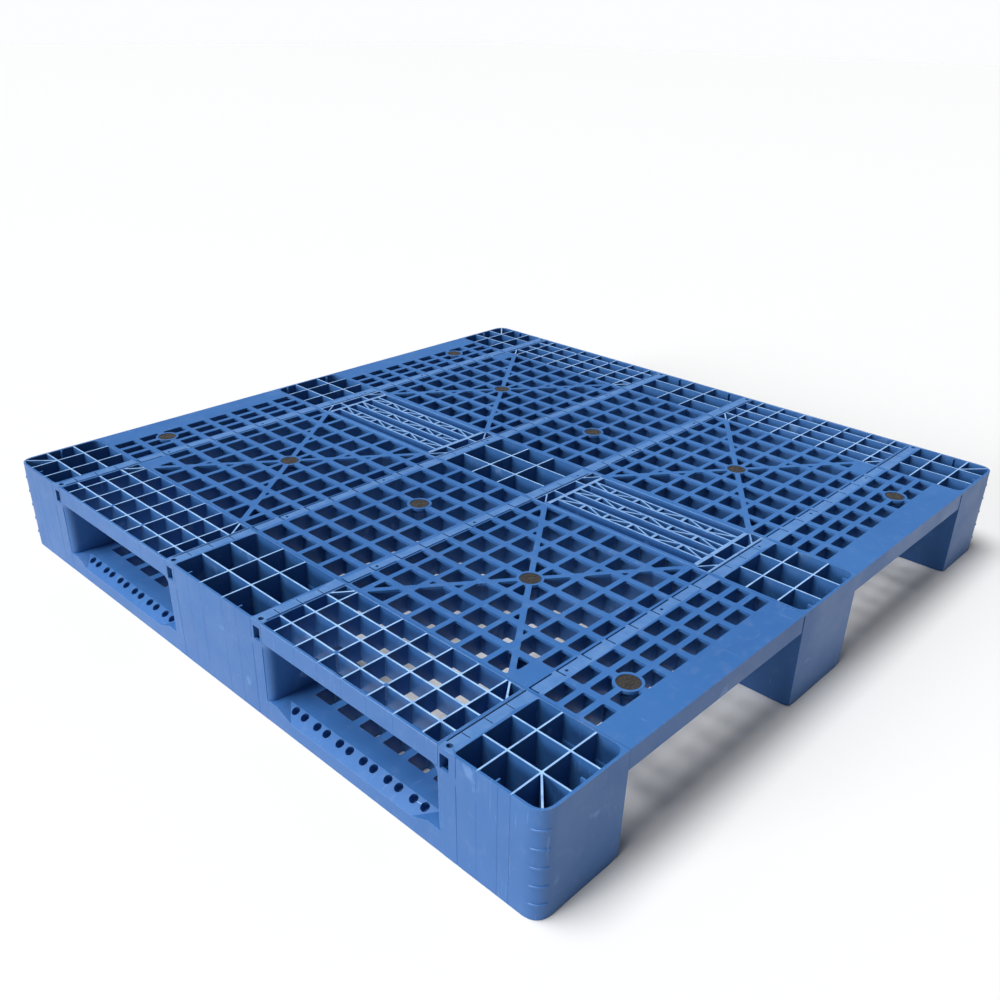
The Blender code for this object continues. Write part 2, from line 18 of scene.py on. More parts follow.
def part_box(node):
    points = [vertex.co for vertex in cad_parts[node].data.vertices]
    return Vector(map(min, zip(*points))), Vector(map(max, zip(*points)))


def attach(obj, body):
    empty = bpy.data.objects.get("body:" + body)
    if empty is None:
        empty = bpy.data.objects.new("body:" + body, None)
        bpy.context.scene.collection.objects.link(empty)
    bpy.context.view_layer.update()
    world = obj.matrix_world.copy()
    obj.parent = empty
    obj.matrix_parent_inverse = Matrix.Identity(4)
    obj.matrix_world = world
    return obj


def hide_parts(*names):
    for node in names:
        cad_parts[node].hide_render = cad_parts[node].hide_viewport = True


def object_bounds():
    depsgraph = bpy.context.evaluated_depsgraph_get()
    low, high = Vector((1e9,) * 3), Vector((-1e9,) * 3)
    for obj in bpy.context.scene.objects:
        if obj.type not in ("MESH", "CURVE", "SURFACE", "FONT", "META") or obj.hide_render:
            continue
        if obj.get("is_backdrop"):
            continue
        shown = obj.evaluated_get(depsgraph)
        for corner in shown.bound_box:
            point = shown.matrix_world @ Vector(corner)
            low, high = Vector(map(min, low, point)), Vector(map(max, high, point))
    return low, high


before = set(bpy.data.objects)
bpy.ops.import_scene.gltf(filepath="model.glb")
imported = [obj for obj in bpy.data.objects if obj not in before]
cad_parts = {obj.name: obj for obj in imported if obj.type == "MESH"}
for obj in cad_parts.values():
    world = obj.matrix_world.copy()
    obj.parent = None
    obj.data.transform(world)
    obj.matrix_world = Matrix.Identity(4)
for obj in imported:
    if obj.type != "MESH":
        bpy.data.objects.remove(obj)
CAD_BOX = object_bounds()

log = logging.getLogger("pallet")

Point = tuple[float, float]
Loop = list[Point]


class Slot(Enum):
    """The record's material slots."""

    PLASTIC = "blue_plastic"
    STEEL = "galvanised_steel"
    CAP = "black_plastic"
    RUBBER = "black_rubber"


class Row(Enum):
    """The rows of legs, by the sign of y."""

    FRONT = -1
    MIDDLE = 0
    REAR = 1


class Line(Enum):
    """The lines of legs, by the sign of x."""

    LEFT = -1
    CENTRE = 0
    RIGHT = 1


# ---- plan of the pallet -------------------------------------------------------------------------


@dataclass(frozen=True)
class Strip:
    """A straight bar in the deck's plan that openings are cut back from."""

    centre: Point
    direction: Point
    half_width: float

    def sides(self) -> list[tuple[Point, float]]:
        """Returns: The two half planes (normal, limit) that lie outside the bar."""
        length = math.hypot(*self.direction)
        nx, ny = -self.direction[1] / length, self.direction[0] / length
        middle = nx * self.centre[0] + ny * self.centre[1]
        return [((nx, ny), middle - self.half_width), ((-nx, -ny), -middle - self.half_width)]


@dataclass(frozen=True)
class Plan:
    """The sizes that every sub-assembly shares."""

    half: float = 0.600
    height: float = 0.155
    top: float = 0.1547
    leg_x: float = 0.1414
    middle_half: float = 0.076
    columns: int = 8
    web_x: float = 0.0104
    web_y: float = 0.0083
    rows: int = 6
    row_pitch: float = 0.0463
    short_row: float = 0.0200
    end_rows: int = 3
    end_row: float = 0.0205
    end_pitch: float = 0.0295
    band: float = 0.0195
    band_edge: float = 0.0036
    end_band_from_edge: float = 0.1417
    shoulder: float = 0.0090
    gap: float = 0.0003
    skin: float = 0.0040
    span_depth: float = 0.0290
    beam_depth: float = 0.0360

    @property
    def leg_inner_x(self) -> float:
        """Returns: The |x| of the outer legs' inner faces."""
        return self.half - self.leg_x

    @property
    def pitch_x(self) -> float:
        """Returns: The distance between two lines of webs along X."""
        return (self.leg_inner_x - self.middle_half) / self.columns

    @property
    def end_band(self) -> float:
        """Returns: The |y| of the tubes near the two ends."""
        return self.half - self.end_band_from_edge

    @property
    def grid_outer(self) -> float:
        """Returns: The |y| of the last web of the large openings."""
        return self.end_band - self.band / 2 - self.band_edge - self.short_row - self.web_y / 2

    @property
    def grid_inner(self) -> float:
        """Returns: The |y| of the first web of the large openings."""
        return self.grid_outer - self.rows * self.row_pitch

    @property
    def grid_middle(self) -> float:
        """Returns: The |y| of the middle of the large openings."""
        return (self.grid_inner + self.grid_outer) / 2

    @property
    def middle_band(self) -> float:
        """Returns: The |y| of the two middle tubes."""
        return self.grid_inner - self.web_y / 2 - self.short_row - self.band_edge / 2 - self.band / 2

    @property
    def span_low(self) -> float:
        """Returns: The |y| where the spans over the windows start."""
        return self.middle_band + self.band / 2

    @property
    def span_high(self) -> float:
        """Returns: The |y| where the spans over the windows end."""
        return self.end_band - self.band / 2

    @property
    def bands(self) -> tuple[float, float]:
        """Returns: The |y| of the two tubes on one side."""
        return self.middle_band, self.end_band

    def column(self, k: float) -> float:
        """Args: k: count of columns. Returns: x of that line of webs, for x > 0."""
        return self.middle_half + k * self.pitch_x

    def cell_rows(self) -> list[tuple[float, float]]:
        """Returns: The rows of openings for y > 0, as (low, high), from the middle out."""
        pitch = (self.middle_band - self.band / 2) / 2
        half_web = self.web_y / 2
        rows = [(k * pitch + half_web, (k + 1) * pitch - half_web) for k in range(2)]
        rows.append((self.grid_inner - half_web - self.short_row, self.grid_inner - half_web))
        for k in range(self.rows):
            low = self.grid_inner + k * self.row_pitch + half_web
            rows.append((low, low + self.row_pitch - self.web_y))
        rows.append((self.grid_outer + half_web, self.grid_outer + half_web + self.short_row))
        for k in range(self.end_rows):
            low = self.end_band + self.band / 2 + self.web_y / 4 + k * self.end_pitch
            rows.append((low, low + self.end_row))
        return rows

    def plugs(self) -> dict[str, Point]:
        """Returns: The middle of each anti-slip plug for x > 0."""
        rows = self.cell_rows()
        edge = (rows[-2][1] + rows[-1][0]) / 2
        places = {"middle": (self.column(3), 0.0)}
        for side, sign in (("front", -1), ("rear", 1)):
            places[f"{side}_edge"] = (self.column(6), sign * edge)
            places[f"{side}_cross"] = (self.column(4), sign * self.grid_middle)
        return places

    def arms(self, facing: int, half_width: float) -> list[Strip]:
        """Args: facing: sign of y. half_width: of the bars.

        Returns: The two crossing bars of one quarter of the deck, for x > 0.
        """
        centre = (self.column(4), facing * self.grid_middle)
        rise = self.grid_outer - self.grid_middle + self.end_pitch
        run = self.columns * self.pitch_x / 2 + self.pitch_x * 0.77
        return [Strip(centre, (run, slope * rise), half_width) for slope in (-1, 1)]


PLAN = Plan()


# ---- outlines -----------------------------------------------------------------------------------


def rectangle(x0: float, y0: float, x1: float, y1: float) -> Loop:
    """Returns: The corners of a rectangle, anticlockwise, whichever way round its sides are given."""
    x0, x1 = sorted((x0, x1))
    y0, y1 = sorted((y0, y1))
    return [(x0, y0), (x1, y0), (x1, y1), (x0, y1)]


def area(loop: Loop) -> float:
    """Returns: The signed area inside a loop."""
    following = loop[1:] + loop[:1]
    return sum(a[0] * b[1] - b[0] * a[1] for a, b in zip(loop, following)) / 2


def clip(loop: Loop, normal: Point, limit: float) -> Loop:
    """Cuts a convex loop back to the side of a line where normal . p is under limit.

    Args:
        loop: the corners. normal: unit normal of the line. limit: its distance from the origin.
    Returns: The corners that are left.
    """
    kept: Loop = []
    for a, b in zip(loop, loop[1:] + loop[:1]):
        da = normal[0] * a[0] + normal[1] * a[1] - limit
        db = normal[0] * b[0] + normal[1] * b[1] - limit
        if da <= 0:
            kept.append(a)
        if da * db < 0:
            share = da / (da - db)
            kept.append((a[0] + share * (b[0] - a[0]), a[1] + share * (b[1] - a[1])))
    return kept


def split(loop: Loop, strips: Iterable[Strip], least: float = 2.2e-5) -> list[Loop]:
    """Cuts a convex opening wherever a bar crosses it.

    Args: loop: the opening. strips: the bars. least: the smallest area kept.
    Returns: The openings that are left.
    """
    found = [loop]
    for strip in strips:
        found = [clip(part, normal, limit) for part in found for normal, limit in strip.sides()]
        found = [part for part in found if len(part) > 2 and area(part) > least]
    return found


def rounded(loop: Loop, radius: float | Callable[[Point], float], steps: int = 3) -> Loop:
    """Rounds the corners of a convex loop.

    Args: loop: the corners. radius: one radius, or a function of a corner. steps: facets per corner.
    Returns: The rounded loop.
    """
    out: Loop = []
    count = len(loop)
    for k, point in enumerate(loop):
        here = Vector(point)
        before, after = Vector(loop[k - 1]) - here, Vector(loop[(k + 1) % count]) - here
        wanted = radius(point) if callable(radius) else radius
        if before.length < 1e-6 or after.length < 1e-6 or wanted <= 0:
            out.append(point)
            continue
        turn = before.angle(after)
        reach = min(wanted / math.tan(turn / 2), 0.48 * before.length, 0.48 * after.length)
        start, end = here + before.normalized() * reach, here + after.normalized() * reach
        for step in range(steps + 1):
            t = step / steps
            spot = start.lerp(here, t).lerp(here.lerp(end, t), t)
            out.append((spot.x, spot.y))
    return out


def pushed_out(loop: Loop, centre: Point, radius: float, spacing: float = 0.0016) -> Loop:
    """Keeps an opening clear of a round boss by moving its edge out to the boss.

    Args: loop: the opening. centre, radius: the boss. spacing: between points along the edge.
    Returns: The opening, with an arc where the boss is.
    """
    near = min(math.hypot(x - centre[0], y - centre[1]) for x, y in loop)
    if near > radius * 2.6:
        return loop
    out: Loop = []
    for a, b in zip(loop, loop[1:] + loop[:1]):
        parts = max(1, round(math.hypot(b[0] - a[0], b[1] - a[1]) / spacing))
        for k in range(parts):
            x, y = a[0] + (b[0] - a[0]) * k / parts, a[1] + (b[1] - a[1]) * k / parts
            away = math.hypot(x - centre[0], y - centre[1])
            if away < radius:
                x = centre[0] + (x - centre[0]) * radius / away
                y = centre[1] + (y - centre[1]) * radius / away
            out.append((x, y))
    return out


def circle(centre: Point, radius: float, sides: int = 16) -> Loop:
    """Returns: A round loop."""
    turns = [2 * math.pi * k / sides for k in range(sides)]
    return [(centre[0] + radius * math.cos(t), centre[1] + radius * math.sin(t)) for t in turns]


# ---- meshes -------------------------------------------------------------------------------------


def evaluated_mesh(obj: bpy.types.Object) -> bpy.types.Mesh:
    """Returns: A plain mesh of the object with its modifiers applied."""
    graph = bpy.context.evaluated_depsgraph_get()
    return bpy.data.meshes.new_from_object(obj.evaluated_get(graph))


def linked(name: str, data: bpy.types.ID) -> bpy.types.Object:
    """Returns: A new object in the scene that holds this data."""
    made = bpy.data.objects.new(name, data)
    bpy.context.scene.collection.objects.link(made)
    return made


def slab(loops: Sequence[Loop], low: float, high: float) -> bpy.types.Mesh:
    """Extrudes an outline with openings in it.

    Args: loops: the outline and then its openings. low, high: the range in z.
    Returns: A closed mesh.
    """
    curve = bpy.data.curves.new("outline", "CURVE")
    curve.dimensions = "2D"
    curve.fill_mode = "BOTH"
    curve.extrude = (high - low) / 2
    for loop in loops:
        spline = curve.splines.new("POLY")
        spline.points.add(len(loop) - 1)
        spline.points.foreach_set("co", [c for x, y in loop for c in (x, y, 0.0, 1.0)])
        spline.use_cyclic_u = True
    obj = linked("outline", curve)
    mesh = evaluated_mesh(obj)
    bpy.data.objects.remove(obj)
    mesh.transform(Matrix.Translation((0, 0, (low + high) / 2)))
    bm = bmesh.new()
    bm.from_mesh(mesh)
    bmesh.ops.remove_doubles(bm, verts=bm.verts, dist=2e-6)
    bmesh.ops.recalc_face_normals(bm, faces=bm.faces)
    bm.to_mesh(mesh)
    bm.free()
    return mesh


def block(low: Sequence[float], high: Sequence[float]) -> bpy.types.Mesh:
    """Returns: A box between two corners, whichever way round they are given."""
    corners = [sorted(pair) for pair in zip(low, high)]
    size = [b - a for a, b in corners]
    middle = [(a + b) / 2 for a, b in corners]
    bm = bmesh.new()
    place = Matrix.Translation(middle) @ Matrix.Diagonal((*size, 1.0))
    bmesh.ops.create_cube(bm, size=1.0, matrix=place)
    mesh = bpy.data.meshes.new("block")
    bm.to_mesh(mesh)
    bm.free()
    return mesh


def rod(radius: float, low: float, high: float, place: Matrix, sides: int = 20) -> bpy.types.Mesh:
    """Returns: A cylinder along the z of its place."""
    bm = bmesh.new()
    along = place @ Matrix.Translation((0, 0, (low + high) / 2))
    bmesh.ops.create_cone(
        bm, cap_ends=True, segments=sides, radius1=radius, radius2=radius, depth=high - low, matrix=along
    )
    mesh = bpy.data.meshes.new("rod")
    bm.to_mesh(mesh)
    bm.free()
    return mesh


def prism(loop: Loop, axis: str, low: float, high: float) -> bpy.types.Mesh:
    """Extrudes a loop along X or Y.

    Args: loop: (other axis, z) corners. axis: "x" or "y". low, high: the range along it.
    Returns: A closed mesh.
    """
    mesh = slab([loop], *sorted((low, high)))
    if axis == "x":
        turn = Matrix(((0, 0, 1, 0), (1, 0, 0, 0), (0, 1, 0, 0), (0, 0, 0, 1)))
    else:
        turn = Matrix(((1, 0, 0, 0), (0, 0, 1, 0), (0, 1, 0, 0), (0, 0, 0, 1)))
        mesh.flip_normals()
    mesh.transform(turn)
    return mesh


def joined(meshes: Iterable[bpy.types.Mesh]) -> bpy.types.Mesh:
    """Returns: One mesh that holds all of these, which are removed."""
    bm = bmesh.new()
    for mesh in meshes:
        bm.from_mesh(mesh)
        bpy.data.meshes.remove(mesh)
    whole = bpy.data.meshes.new("joined")
    bm.to_mesh(whole)
    bm.free()
    return whole


def hull(points: Iterable[Sequence[float]]) -> bpy.types.Mesh:
    """Returns: The convex solid around these points."""
    bm = bmesh.new()
    for point in points:
        bm.verts.new(point)
    bmesh.ops.convex_hull(bm, input=bm.verts)
    bmesh.ops.recalc_face_normals(bm, faces=bm.faces)
    mesh = bpy.data.meshes.new("hull")
    bm.to_mesh(mesh)
    bm.free()
    return mesh


def cut(mesh: bpy.types.Mesh, cutters: Iterable[bpy.types.Mesh]) -> bpy.types.Mesh:
    """Takes the cutters away from a mesh.

    Args: mesh: what is cut. cutters: closed meshes, which are removed.
    Returns: What is left.
    """
    body, tool = linked("cut_body", mesh), linked("cut_tool", joined(cutters))
    modifier = body.modifiers.new("cut", "BOOLEAN")
    modifier.operation = "DIFFERENCE"
    modifier.solver = "EXACT"
    modifier.use_self = True
    modifier.object = tool
    left = evaluated_mesh(body)
    bpy.data.objects.remove(body)
    bpy.data.objects.remove(tool)
    return left


def eased(mesh: bpy.types.Mesh, width: float, segments: int = 2, angle: float = 50.0) -> bpy.types.Mesh:
    """Breaks the sharp edges of a mesh.

    Args: mesh: what is eased. width, segments: of the bevel. angle: the least turn that counts as sharp.
    Returns: The eased mesh.
    """
    body = linked("eased", mesh)
    modifier = body.modifiers.new("ease", "BEVEL")
    modifier.width = width
    modifier.segments = segments
    modifier.limit_method = "ANGLE"
    modifier.angle_limit = math.radians(angle)
    modifier.use_clamp_overlap = True
    modifier.miter_outer = "MITER_SHARP"
    made = evaluated_mesh(body)
    bpy.data.objects.remove(body)
    return made


def mark_wear_and_highlight(
    mesh: bpy.types.Mesh, top: float, narrow: float, pale: Callable[[Vector], float] | None = None
) -> None:
    """Writes to a face attribute how far each face is painted paler, partly as wear and partly as painted highlight.

    Args:
        mesh: what is marked. top: z of its top face. narrow: the widest face that counts as an edge.
        pale: gives how pale the top is at a place, where that isn't plain.
    """
    wear_and_highlight = mesh.attributes.new("wear_and_highlight", "FLOAT", "FACE")
    values = []
    for face in mesh.polygons:
        points = [mesh.vertices[i].co for i in face.vertices]
        longest = max((a - b).length for a, b in zip(points, points[1:] + points[:1]))
        width = face.area / longest if longest > 0 else 0.0
        slanted = 0.15 < face.normal.z < 0.97
        high = face.center.z > top - narrow
        # Narrow slanted faces near the top, the eased edges, are painted paler: partly burnished wear, partly painted
        # highlight.
        value = 0.75 if slanted and width < narrow and high else 0.0
        if pale is not None and face.normal.z > 0.3 and high:
            value = max(value, pale(face.center))
        values.append(value)
    wear_and_highlight.data.foreach_set("value", values)


def opened_up(mesh: bpy.types.Mesh, levels: Sequence[float]) -> None:
    """Adds level rings of points to an upright mesh. Args: mesh: what is changed. levels: their z."""
    bm = bmesh.new()
    bm.from_mesh(mesh)
    for level in levels:
        whole = [*bm.verts, *bm.edges, *bm.faces]
        bmesh.ops.bisect_plane(bm, geom=whole, plane_co=(0, 0, level), plane_no=(0, 0, 1))
    bm.to_mesh(mesh)
    bm.free()


def grooved(loop: Loop, face: float, lines: Iterable[Point], width: float = 0.75) -> Loop:
    """Adds fine V grooves to the side of an outline that lies at one x.

    Args: loop: the outline. face: x of that side. lines: (y, depth) of each groove. width: half of a
            groove's width, as a share of its depth.
    Returns: The outline with its grooves.
    """
    out: Loop = []
    inward = -math.copysign(1, face)
    for a, b in zip(loop, loop[1:] + loop[:1]):
        out.append(a)
        if abs(a[0] - face) > 1e-5 or abs(b[0] - face) > 1e-5:
            continue
        way = math.copysign(1, b[1] - a[1])
        between = [line for line in lines if (line[0] - a[1]) * way > 0.001 and (b[1] - line[0]) * way > 0.001]
        for y, depth in sorted(between, key=lambda line: line[0] * way):
            half = depth * width
            out += [(face, y - way * half), (face + inward * depth, y), (face, y + way * half)]
    return out


# ---- finishes -----------------------------------------------------------------------------------


class Tree:
    """A material's node tree, with short ways to add to it."""

    def __init__(self, name: str) -> None:
        """Args: name: the material's name."""
        self.material = bpy.data.materials.new(name)
        self.material.use_nodes = True
        self.nodes = self.material.node_tree.nodes
        self.links = self.material.node_tree.links
        self.shader = self.nodes["Principled BSDF"]
        self.place = self.nodes.new("ShaderNodeTexCoord").outputs["Object"]

    def link(self, source: bpy.types.NodeSocket, target: bpy.types.NodeSocket) -> None:
        """Joins two sockets."""
        self.links.new(source, target)

    def scaled(self, scale: Sequence[float]) -> bpy.types.NodeSocket:
        """Returns: The place on the object, stretched by this much each way."""
        node = self.nodes.new("ShaderNodeMapping")
        node.inputs["Scale"].default_value = tuple(scale)
        self.link(self.place, node.inputs["Vector"])
        return node.outputs["Vector"]

    def noise(self, scale: float, detail: float = 4.0, stretch: Sequence[float] = (1, 1, 1)) -> bpy.types.NodeSocket:
        """Returns: A noise between 0 and 1."""
        node = self.nodes.new("ShaderNodeTexNoise")
        node.inputs["Scale"].default_value = scale
        node.inputs["Detail"].default_value = detail
        self.link(self.scaled(stretch), node.inputs["Vector"])
        return node.outputs["Fac"]

    def cells(self, scale: float, stretch: Sequence[float] = (1, 1, 1)) -> bpy.types.NodeSocket:
        """Returns: The distance to the nearest point of a scatter."""
        node = self.nodes.new("ShaderNodeTexVoronoi")
        node.inputs["Scale"].default_value = scale
        self.link(self.scaled(stretch), node.inputs["Vector"])
        return node.outputs["Distance"]

    def remap(self, value: bpy.types.NodeSocket, low: float, high: float, to: Point) -> bpy.types.NodeSocket:
        """Returns: value, with low to high turned into the range to, and held there."""
        node = self.nodes.new("ShaderNodeMapRange")
        for name, number in zip(("From Min", "From Max", "To Min", "To Max"), (low, high, *to)):
            node.inputs[name].default_value = number
        self.link(value, node.inputs["Value"])
        return node.outputs["Result"]

    def math(self, operation: str, a: bpy.types.NodeSocket, b: bpy.types.NodeSocket | float) -> bpy.types.NodeSocket:
        """Returns: The result of one sum on a and b."""
        node = self.nodes.new("ShaderNodeMath")
        node.operation = operation
        self.link(a, node.inputs[0])
        if isinstance(b, float):
            node.inputs[1].default_value = b
        else:
            self.link(b, node.inputs[1])
        return node.outputs[0]

    def mix(
        self,
        share: bpy.types.NodeSocket,
        a: bpy.types.NodeSocket | Sequence[float],
        b: bpy.types.NodeSocket | Sequence[float],
    ) -> bpy.types.NodeSocket:
        """Returns: Colour a where share is 0, and b where it is 1."""
        node = self.nodes.new("ShaderNodeMix")
        node.data_type = "RGBA"
        self.link(share, node.inputs["Factor"])
        for value, socket in ((a, node.inputs[6]), (b, node.inputs[7])):
            if isinstance(value, bpy.types.NodeSocket):
                self.link(value, socket)
            else:
                socket.default_value = (*value, 1.0)
        return node.outputs[2]

    def attribute(self, name: str) -> bpy.types.NodeSocket:
        """Returns: A number that the mesh carries."""
        node = self.nodes.new("ShaderNodeAttribute")
        node.attribute_name = name
        return node.outputs["Fac"]

    def axis(self, name: str) -> bpy.types.NodeSocket:
        """Args: name: X, Y or Z. Returns: That part of the place on the object."""
        node = self.nodes.new("ShaderNodeSeparateXYZ")
        self.link(self.place, node.inputs[0])
        return node.outputs[name]

    def bump(self, height: bpy.types.NodeSocket, depth: float, strength: float = 1.0, under=None) -> bpy.types.NodeSocket:
        """Args: height: from 0 to 1. depth: of that range, in metres. under: a bump below this one.

        Returns: The bent normal.
        """
        node = self.nodes.new("ShaderNodeBump")
        node.inputs["Distance"].default_value = depth
        node.inputs["Strength"].default_value = strength
        self.link(height, node.inputs["Height"])
        if under is not None:
            self.link(under, node.inputs["Normal"])
        return node.outputs["Normal"]


@dataclass(frozen=True)
class MouldedPlastic:
    """Coloured polypropylene: a fine grain, flow marks, dull scuffs on top, and edges and rib tops painted paler,
    partly as burnished wear and partly as painted highlight.
    """

    name: str
    deep: tuple[float, float, float]
    light: tuple[float, float, float]
    # The pale colour of the scuffs and of the paler edges and rib tops, which are partly painted highlight.
    wear_and_highlight: tuple[float, float, float]
    roughness: Point
    grain: float

    def build(self) -> bpy.types.Material:
        """Returns: The finished material."""
        tree = Tree(self.name)
        broad = tree.remap(tree.noise(3.0, 3.0), 0.3, 0.7, (0.0, 1.0))
        flow = tree.remap(tree.noise(9.0, 5.0, (1.0, 3.5, 1.0)), 0.35, 0.65, (0.0, 1.0))
        colour = tree.mix(broad, self.deep, self.light)
        colour = tree.mix(tree.math("MULTIPLY", flow, 0.35), colour, self.light)
        dust = tree.remap(tree.noise(55.0, 8.0), 0.55, 0.80, (0.0, 0.10))
        colour = tree.mix(dust, colour, (0.30, 0.36, 0.44))
        scratch = tree.remap(tree.noise(26.0, 6.0, (1.0, 22.0, 1.0)), 0.66, 0.72, (0.0, 0.22))
        cross = tree.remap(tree.noise(23.0, 6.0, (19.0, 1.0, 1.0)), 0.67, 0.73, (0.0, 0.18))
        scuff = tree.math("MAXIMUM", scratch, cross)
        colour = tree.mix(scuff, colour, self.wear_and_highlight)
        # Edges and rib tops are painted paler through a face attribute: partly burnished wear, partly painted
        # highlight.
        edge_mottle = tree.remap(tree.noise(70.0, 3.0), 0.2, 0.6, (0.45, 1.0))
        edge = tree.math("MULTIPLY", tree.attribute("wear_and_highlight"), edge_mottle)
        colour = tree.mix(edge, colour, self.wear_and_highlight)
        tree.link(colour, tree.shader.inputs["Base Color"])
        rough = tree.remap(tree.noise(14.0, 6.0), 0.3, 0.7, self.roughness)
        rough = tree.math("ADD", rough, tree.math("MULTIPLY", scuff, 0.4))
        tree.link(rough, tree.shader.inputs["Roughness"])
        fine = tree.bump(tree.noise(self.grain, 3.0), 0.00008, 0.5)
        sink = tree.bump(tree.noise(16.0, 2.0), 0.0012, 0.28, fine)
        tree.link(sink, tree.shader.inputs["Normal"])
        tree.shader.inputs["Specular IOR Level"].default_value = 0.42
        tree.shader.inputs["IOR"].default_value = 1.49
        tree.shader.inputs["Coat Weight"].default_value = 0.05
        tree.shader.inputs["Coat Roughness"].default_value = 0.35
        return tree.material


@dataclass(frozen=True)
class MouldedRubber:
    """Soft black rubber: cloudy, powdery and dull."""

    name: str
    deep: tuple[float, float, float]
    dusty: tuple[float, float, float]
    roughness: Point

    def build(self) -> bpy.types.Material:
        """Returns: The finished material."""
        tree = Tree(self.name)
        cloud = tree.remap(tree.noise(90.0, 6.0), 0.35, 0.7, (0.0, 1.0))
        specks = tree.remap(tree.cells(900.0), 0.05, 0.4, (1.0, 0.0))
        colour = tree.mix(cloud, self.deep, self.dusty)
        colour = tree.mix(tree.math("MULTIPLY", specks, 0.25), colour, self.dusty)
        tree.link(colour, tree.shader.inputs["Base Color"])
        tree.link(tree.remap(tree.noise(60.0), 0.3, 0.7, self.roughness), tree.shader.inputs["Roughness"])
        tree.link(tree.bump(tree.noise(1400.0, 4.0), 0.00012, 0.7), tree.shader.inputs["Normal"])
        tree.shader.inputs["Sheen Weight"].default_value = 0.15
        return tree.material


@dataclass(frozen=True)
class Galvanised:
    """Zinc-coated steel: grey spangle, fine draw lines and a dull shine."""

    name: str
    deep: tuple[float, float, float]
    bright: tuple[float, float, float]
    roughness: Point

    def build(self) -> bpy.types.Material:
        """Returns: The finished material."""
        tree = Tree(self.name)
        spangle = tree.remap(tree.cells(160.0), 0.1, 0.6, (0.0, 1.0))
        lines = tree.noise(120.0, 4.0, (0.05, 1.0, 1.0))
        tree.link(tree.mix(spangle, self.deep, self.bright), tree.shader.inputs["Base Color"])
        tree.link(tree.remap(lines, 0.3, 0.7, self.roughness), tree.shader.inputs["Roughness"])
        tree.link(tree.bump(lines, 0.00005, 0.6), tree.shader.inputs["Normal"])
        tree.shader.inputs["Metallic"].default_value = 1.0
        return tree.material


@dataclass(frozen=True)
class StudioFloor:
    """Seamless pale paper."""

    name: str = "studio_floor"
    shade: tuple[float, float, float] = (0.66, 0.662, 0.665)

    def build(self) -> bpy.types.Material:
        """Returns: The finished material."""
        tree = Tree(self.name)
        fibre = tree.remap(tree.noise(40.0, 6.0), 0.3, 0.7, (0.0, 0.05))
        tree.link(tree.mix(fibre, self.shade, (0.62, 0.62, 0.62)), tree.shader.inputs["Base Color"])
        tree.shader.inputs["Roughness"].default_value = 0.9
        return tree.material


@dataclass
class Finishes:
    """Every material of the pallet, built once."""

    plastic: bpy.types.Material
    rubber: bpy.types.Material
    emblem: bpy.types.Material
    steel: bpy.types.Material
    cap: bpy.types.Material

    @classmethod
    def build(cls) -> "Finishes":
        """Returns: The set of finishes."""
        # The blue plastic's third colour serves the scuffs and the paler edges and rib tops, which are partly painted
        # highlight.
        plastic = MouldedPlastic(
            "moulded_blue", (0.022, 0.100, 0.300), (0.036, 0.136, 0.370), (0.33, 0.54, 0.85), (0.38, 0.54), 1500.0
        )
        rubber = MouldedRubber("plug_rubber", (0.006, 0.005, 0.005), (0.022, 0.018, 0.015), (0.55, 0.80))
        emblem = MouldedRubber("plug_relief", (0.090, 0.068, 0.042), (0.210, 0.160, 0.100), (0.45, 0.70))
        steel = Galvanised("galvanised", (0.42, 0.43, 0.45), (0.66, 0.67, 0.69), (0.28, 0.50))
        cap = MouldedPlastic(
            "cap_plastic", (0.012, 0.013, 0.016), (0.026, 0.028, 0.034), (0.10, 0.10, 0.11), (0.45, 0.65), 900.0
        )
        return cls(*(made.build() for made in (plastic, rubber, emblem, steel, cap)))


# ---- repeated features by geometry nodes --------------------------------------------------------


class Graph:
    """A geometry node tree with named size inputs, run once on an empty mesh."""

    def __init__(self, name: str, sizes: dict[str, float]) -> None:
        """Args: name: of the tree. sizes: each named input and its value."""
        self.tree = bpy.data.node_groups.new(name, "GeometryNodeTree")
        self.tree.interface.new_socket("Geometry", in_out="INPUT", socket_type="NodeSocketGeometry")
        self.tree.interface.new_socket("Geometry", in_out="OUTPUT", socket_type="NodeSocketGeometry")
        self.sizes = sizes
        for size in sizes:
            self.tree.interface.new_socket(size, in_out="INPUT", socket_type="NodeSocketFloat")
        self.given = self.tree.nodes.new("NodeGroupInput")
        self.result = self.tree.nodes.new("NodeGroupOutput")

    def add(self, kind: str, links: dict | None = None, **settings: object) -> bpy.types.Node:
        """Args: kind: the node type. links: input name to a socket or a value. settings: its own options.

        Returns: The new node.
        """
        node = self.tree.nodes.new(kind)
        for name, value in settings.items():
            setattr(node, name, value)
        for name, value in (links or {}).items():
            if isinstance(value, bpy.types.NodeSocket):
                self.tree.links.new(value, node.inputs[name])
            else:
                node.inputs[name].default_value = value
        return node

    def size(self, name: str) -> bpy.types.NodeSocket:
        """Returns: The socket of a named size."""
        return self.given.outputs[name]

    def run(self, geometry: bpy.types.NodeSocket, material: bpy.types.Material) -> bpy.types.Mesh:
        """Args: geometry: what the tree makes. material: of all of it. Returns: A plain mesh."""
        real = self.add("GeometryNodeRealizeInstances", {"Geometry": geometry})
        dressed = self.add("GeometryNodeSetMaterial", {"Geometry": real.outputs[0], "Material": material})
        self.tree.links.new(dressed.outputs[0], self.result.inputs[0])
        obj = linked(self.tree.name, bpy.data.meshes.new(self.tree.name))
        modifier = obj.modifiers.new("nodes", "NODES")
        modifier.node_group = self.tree
        for item in self.tree.interface.items_tree:
            if item.in_out == "INPUT" and item.name in self.sizes:
                modifier[item.identifier] = self.sizes[item.name]
        mesh = evaluated_mesh(obj)
        bpy.data.objects.remove(obj)
        return mesh


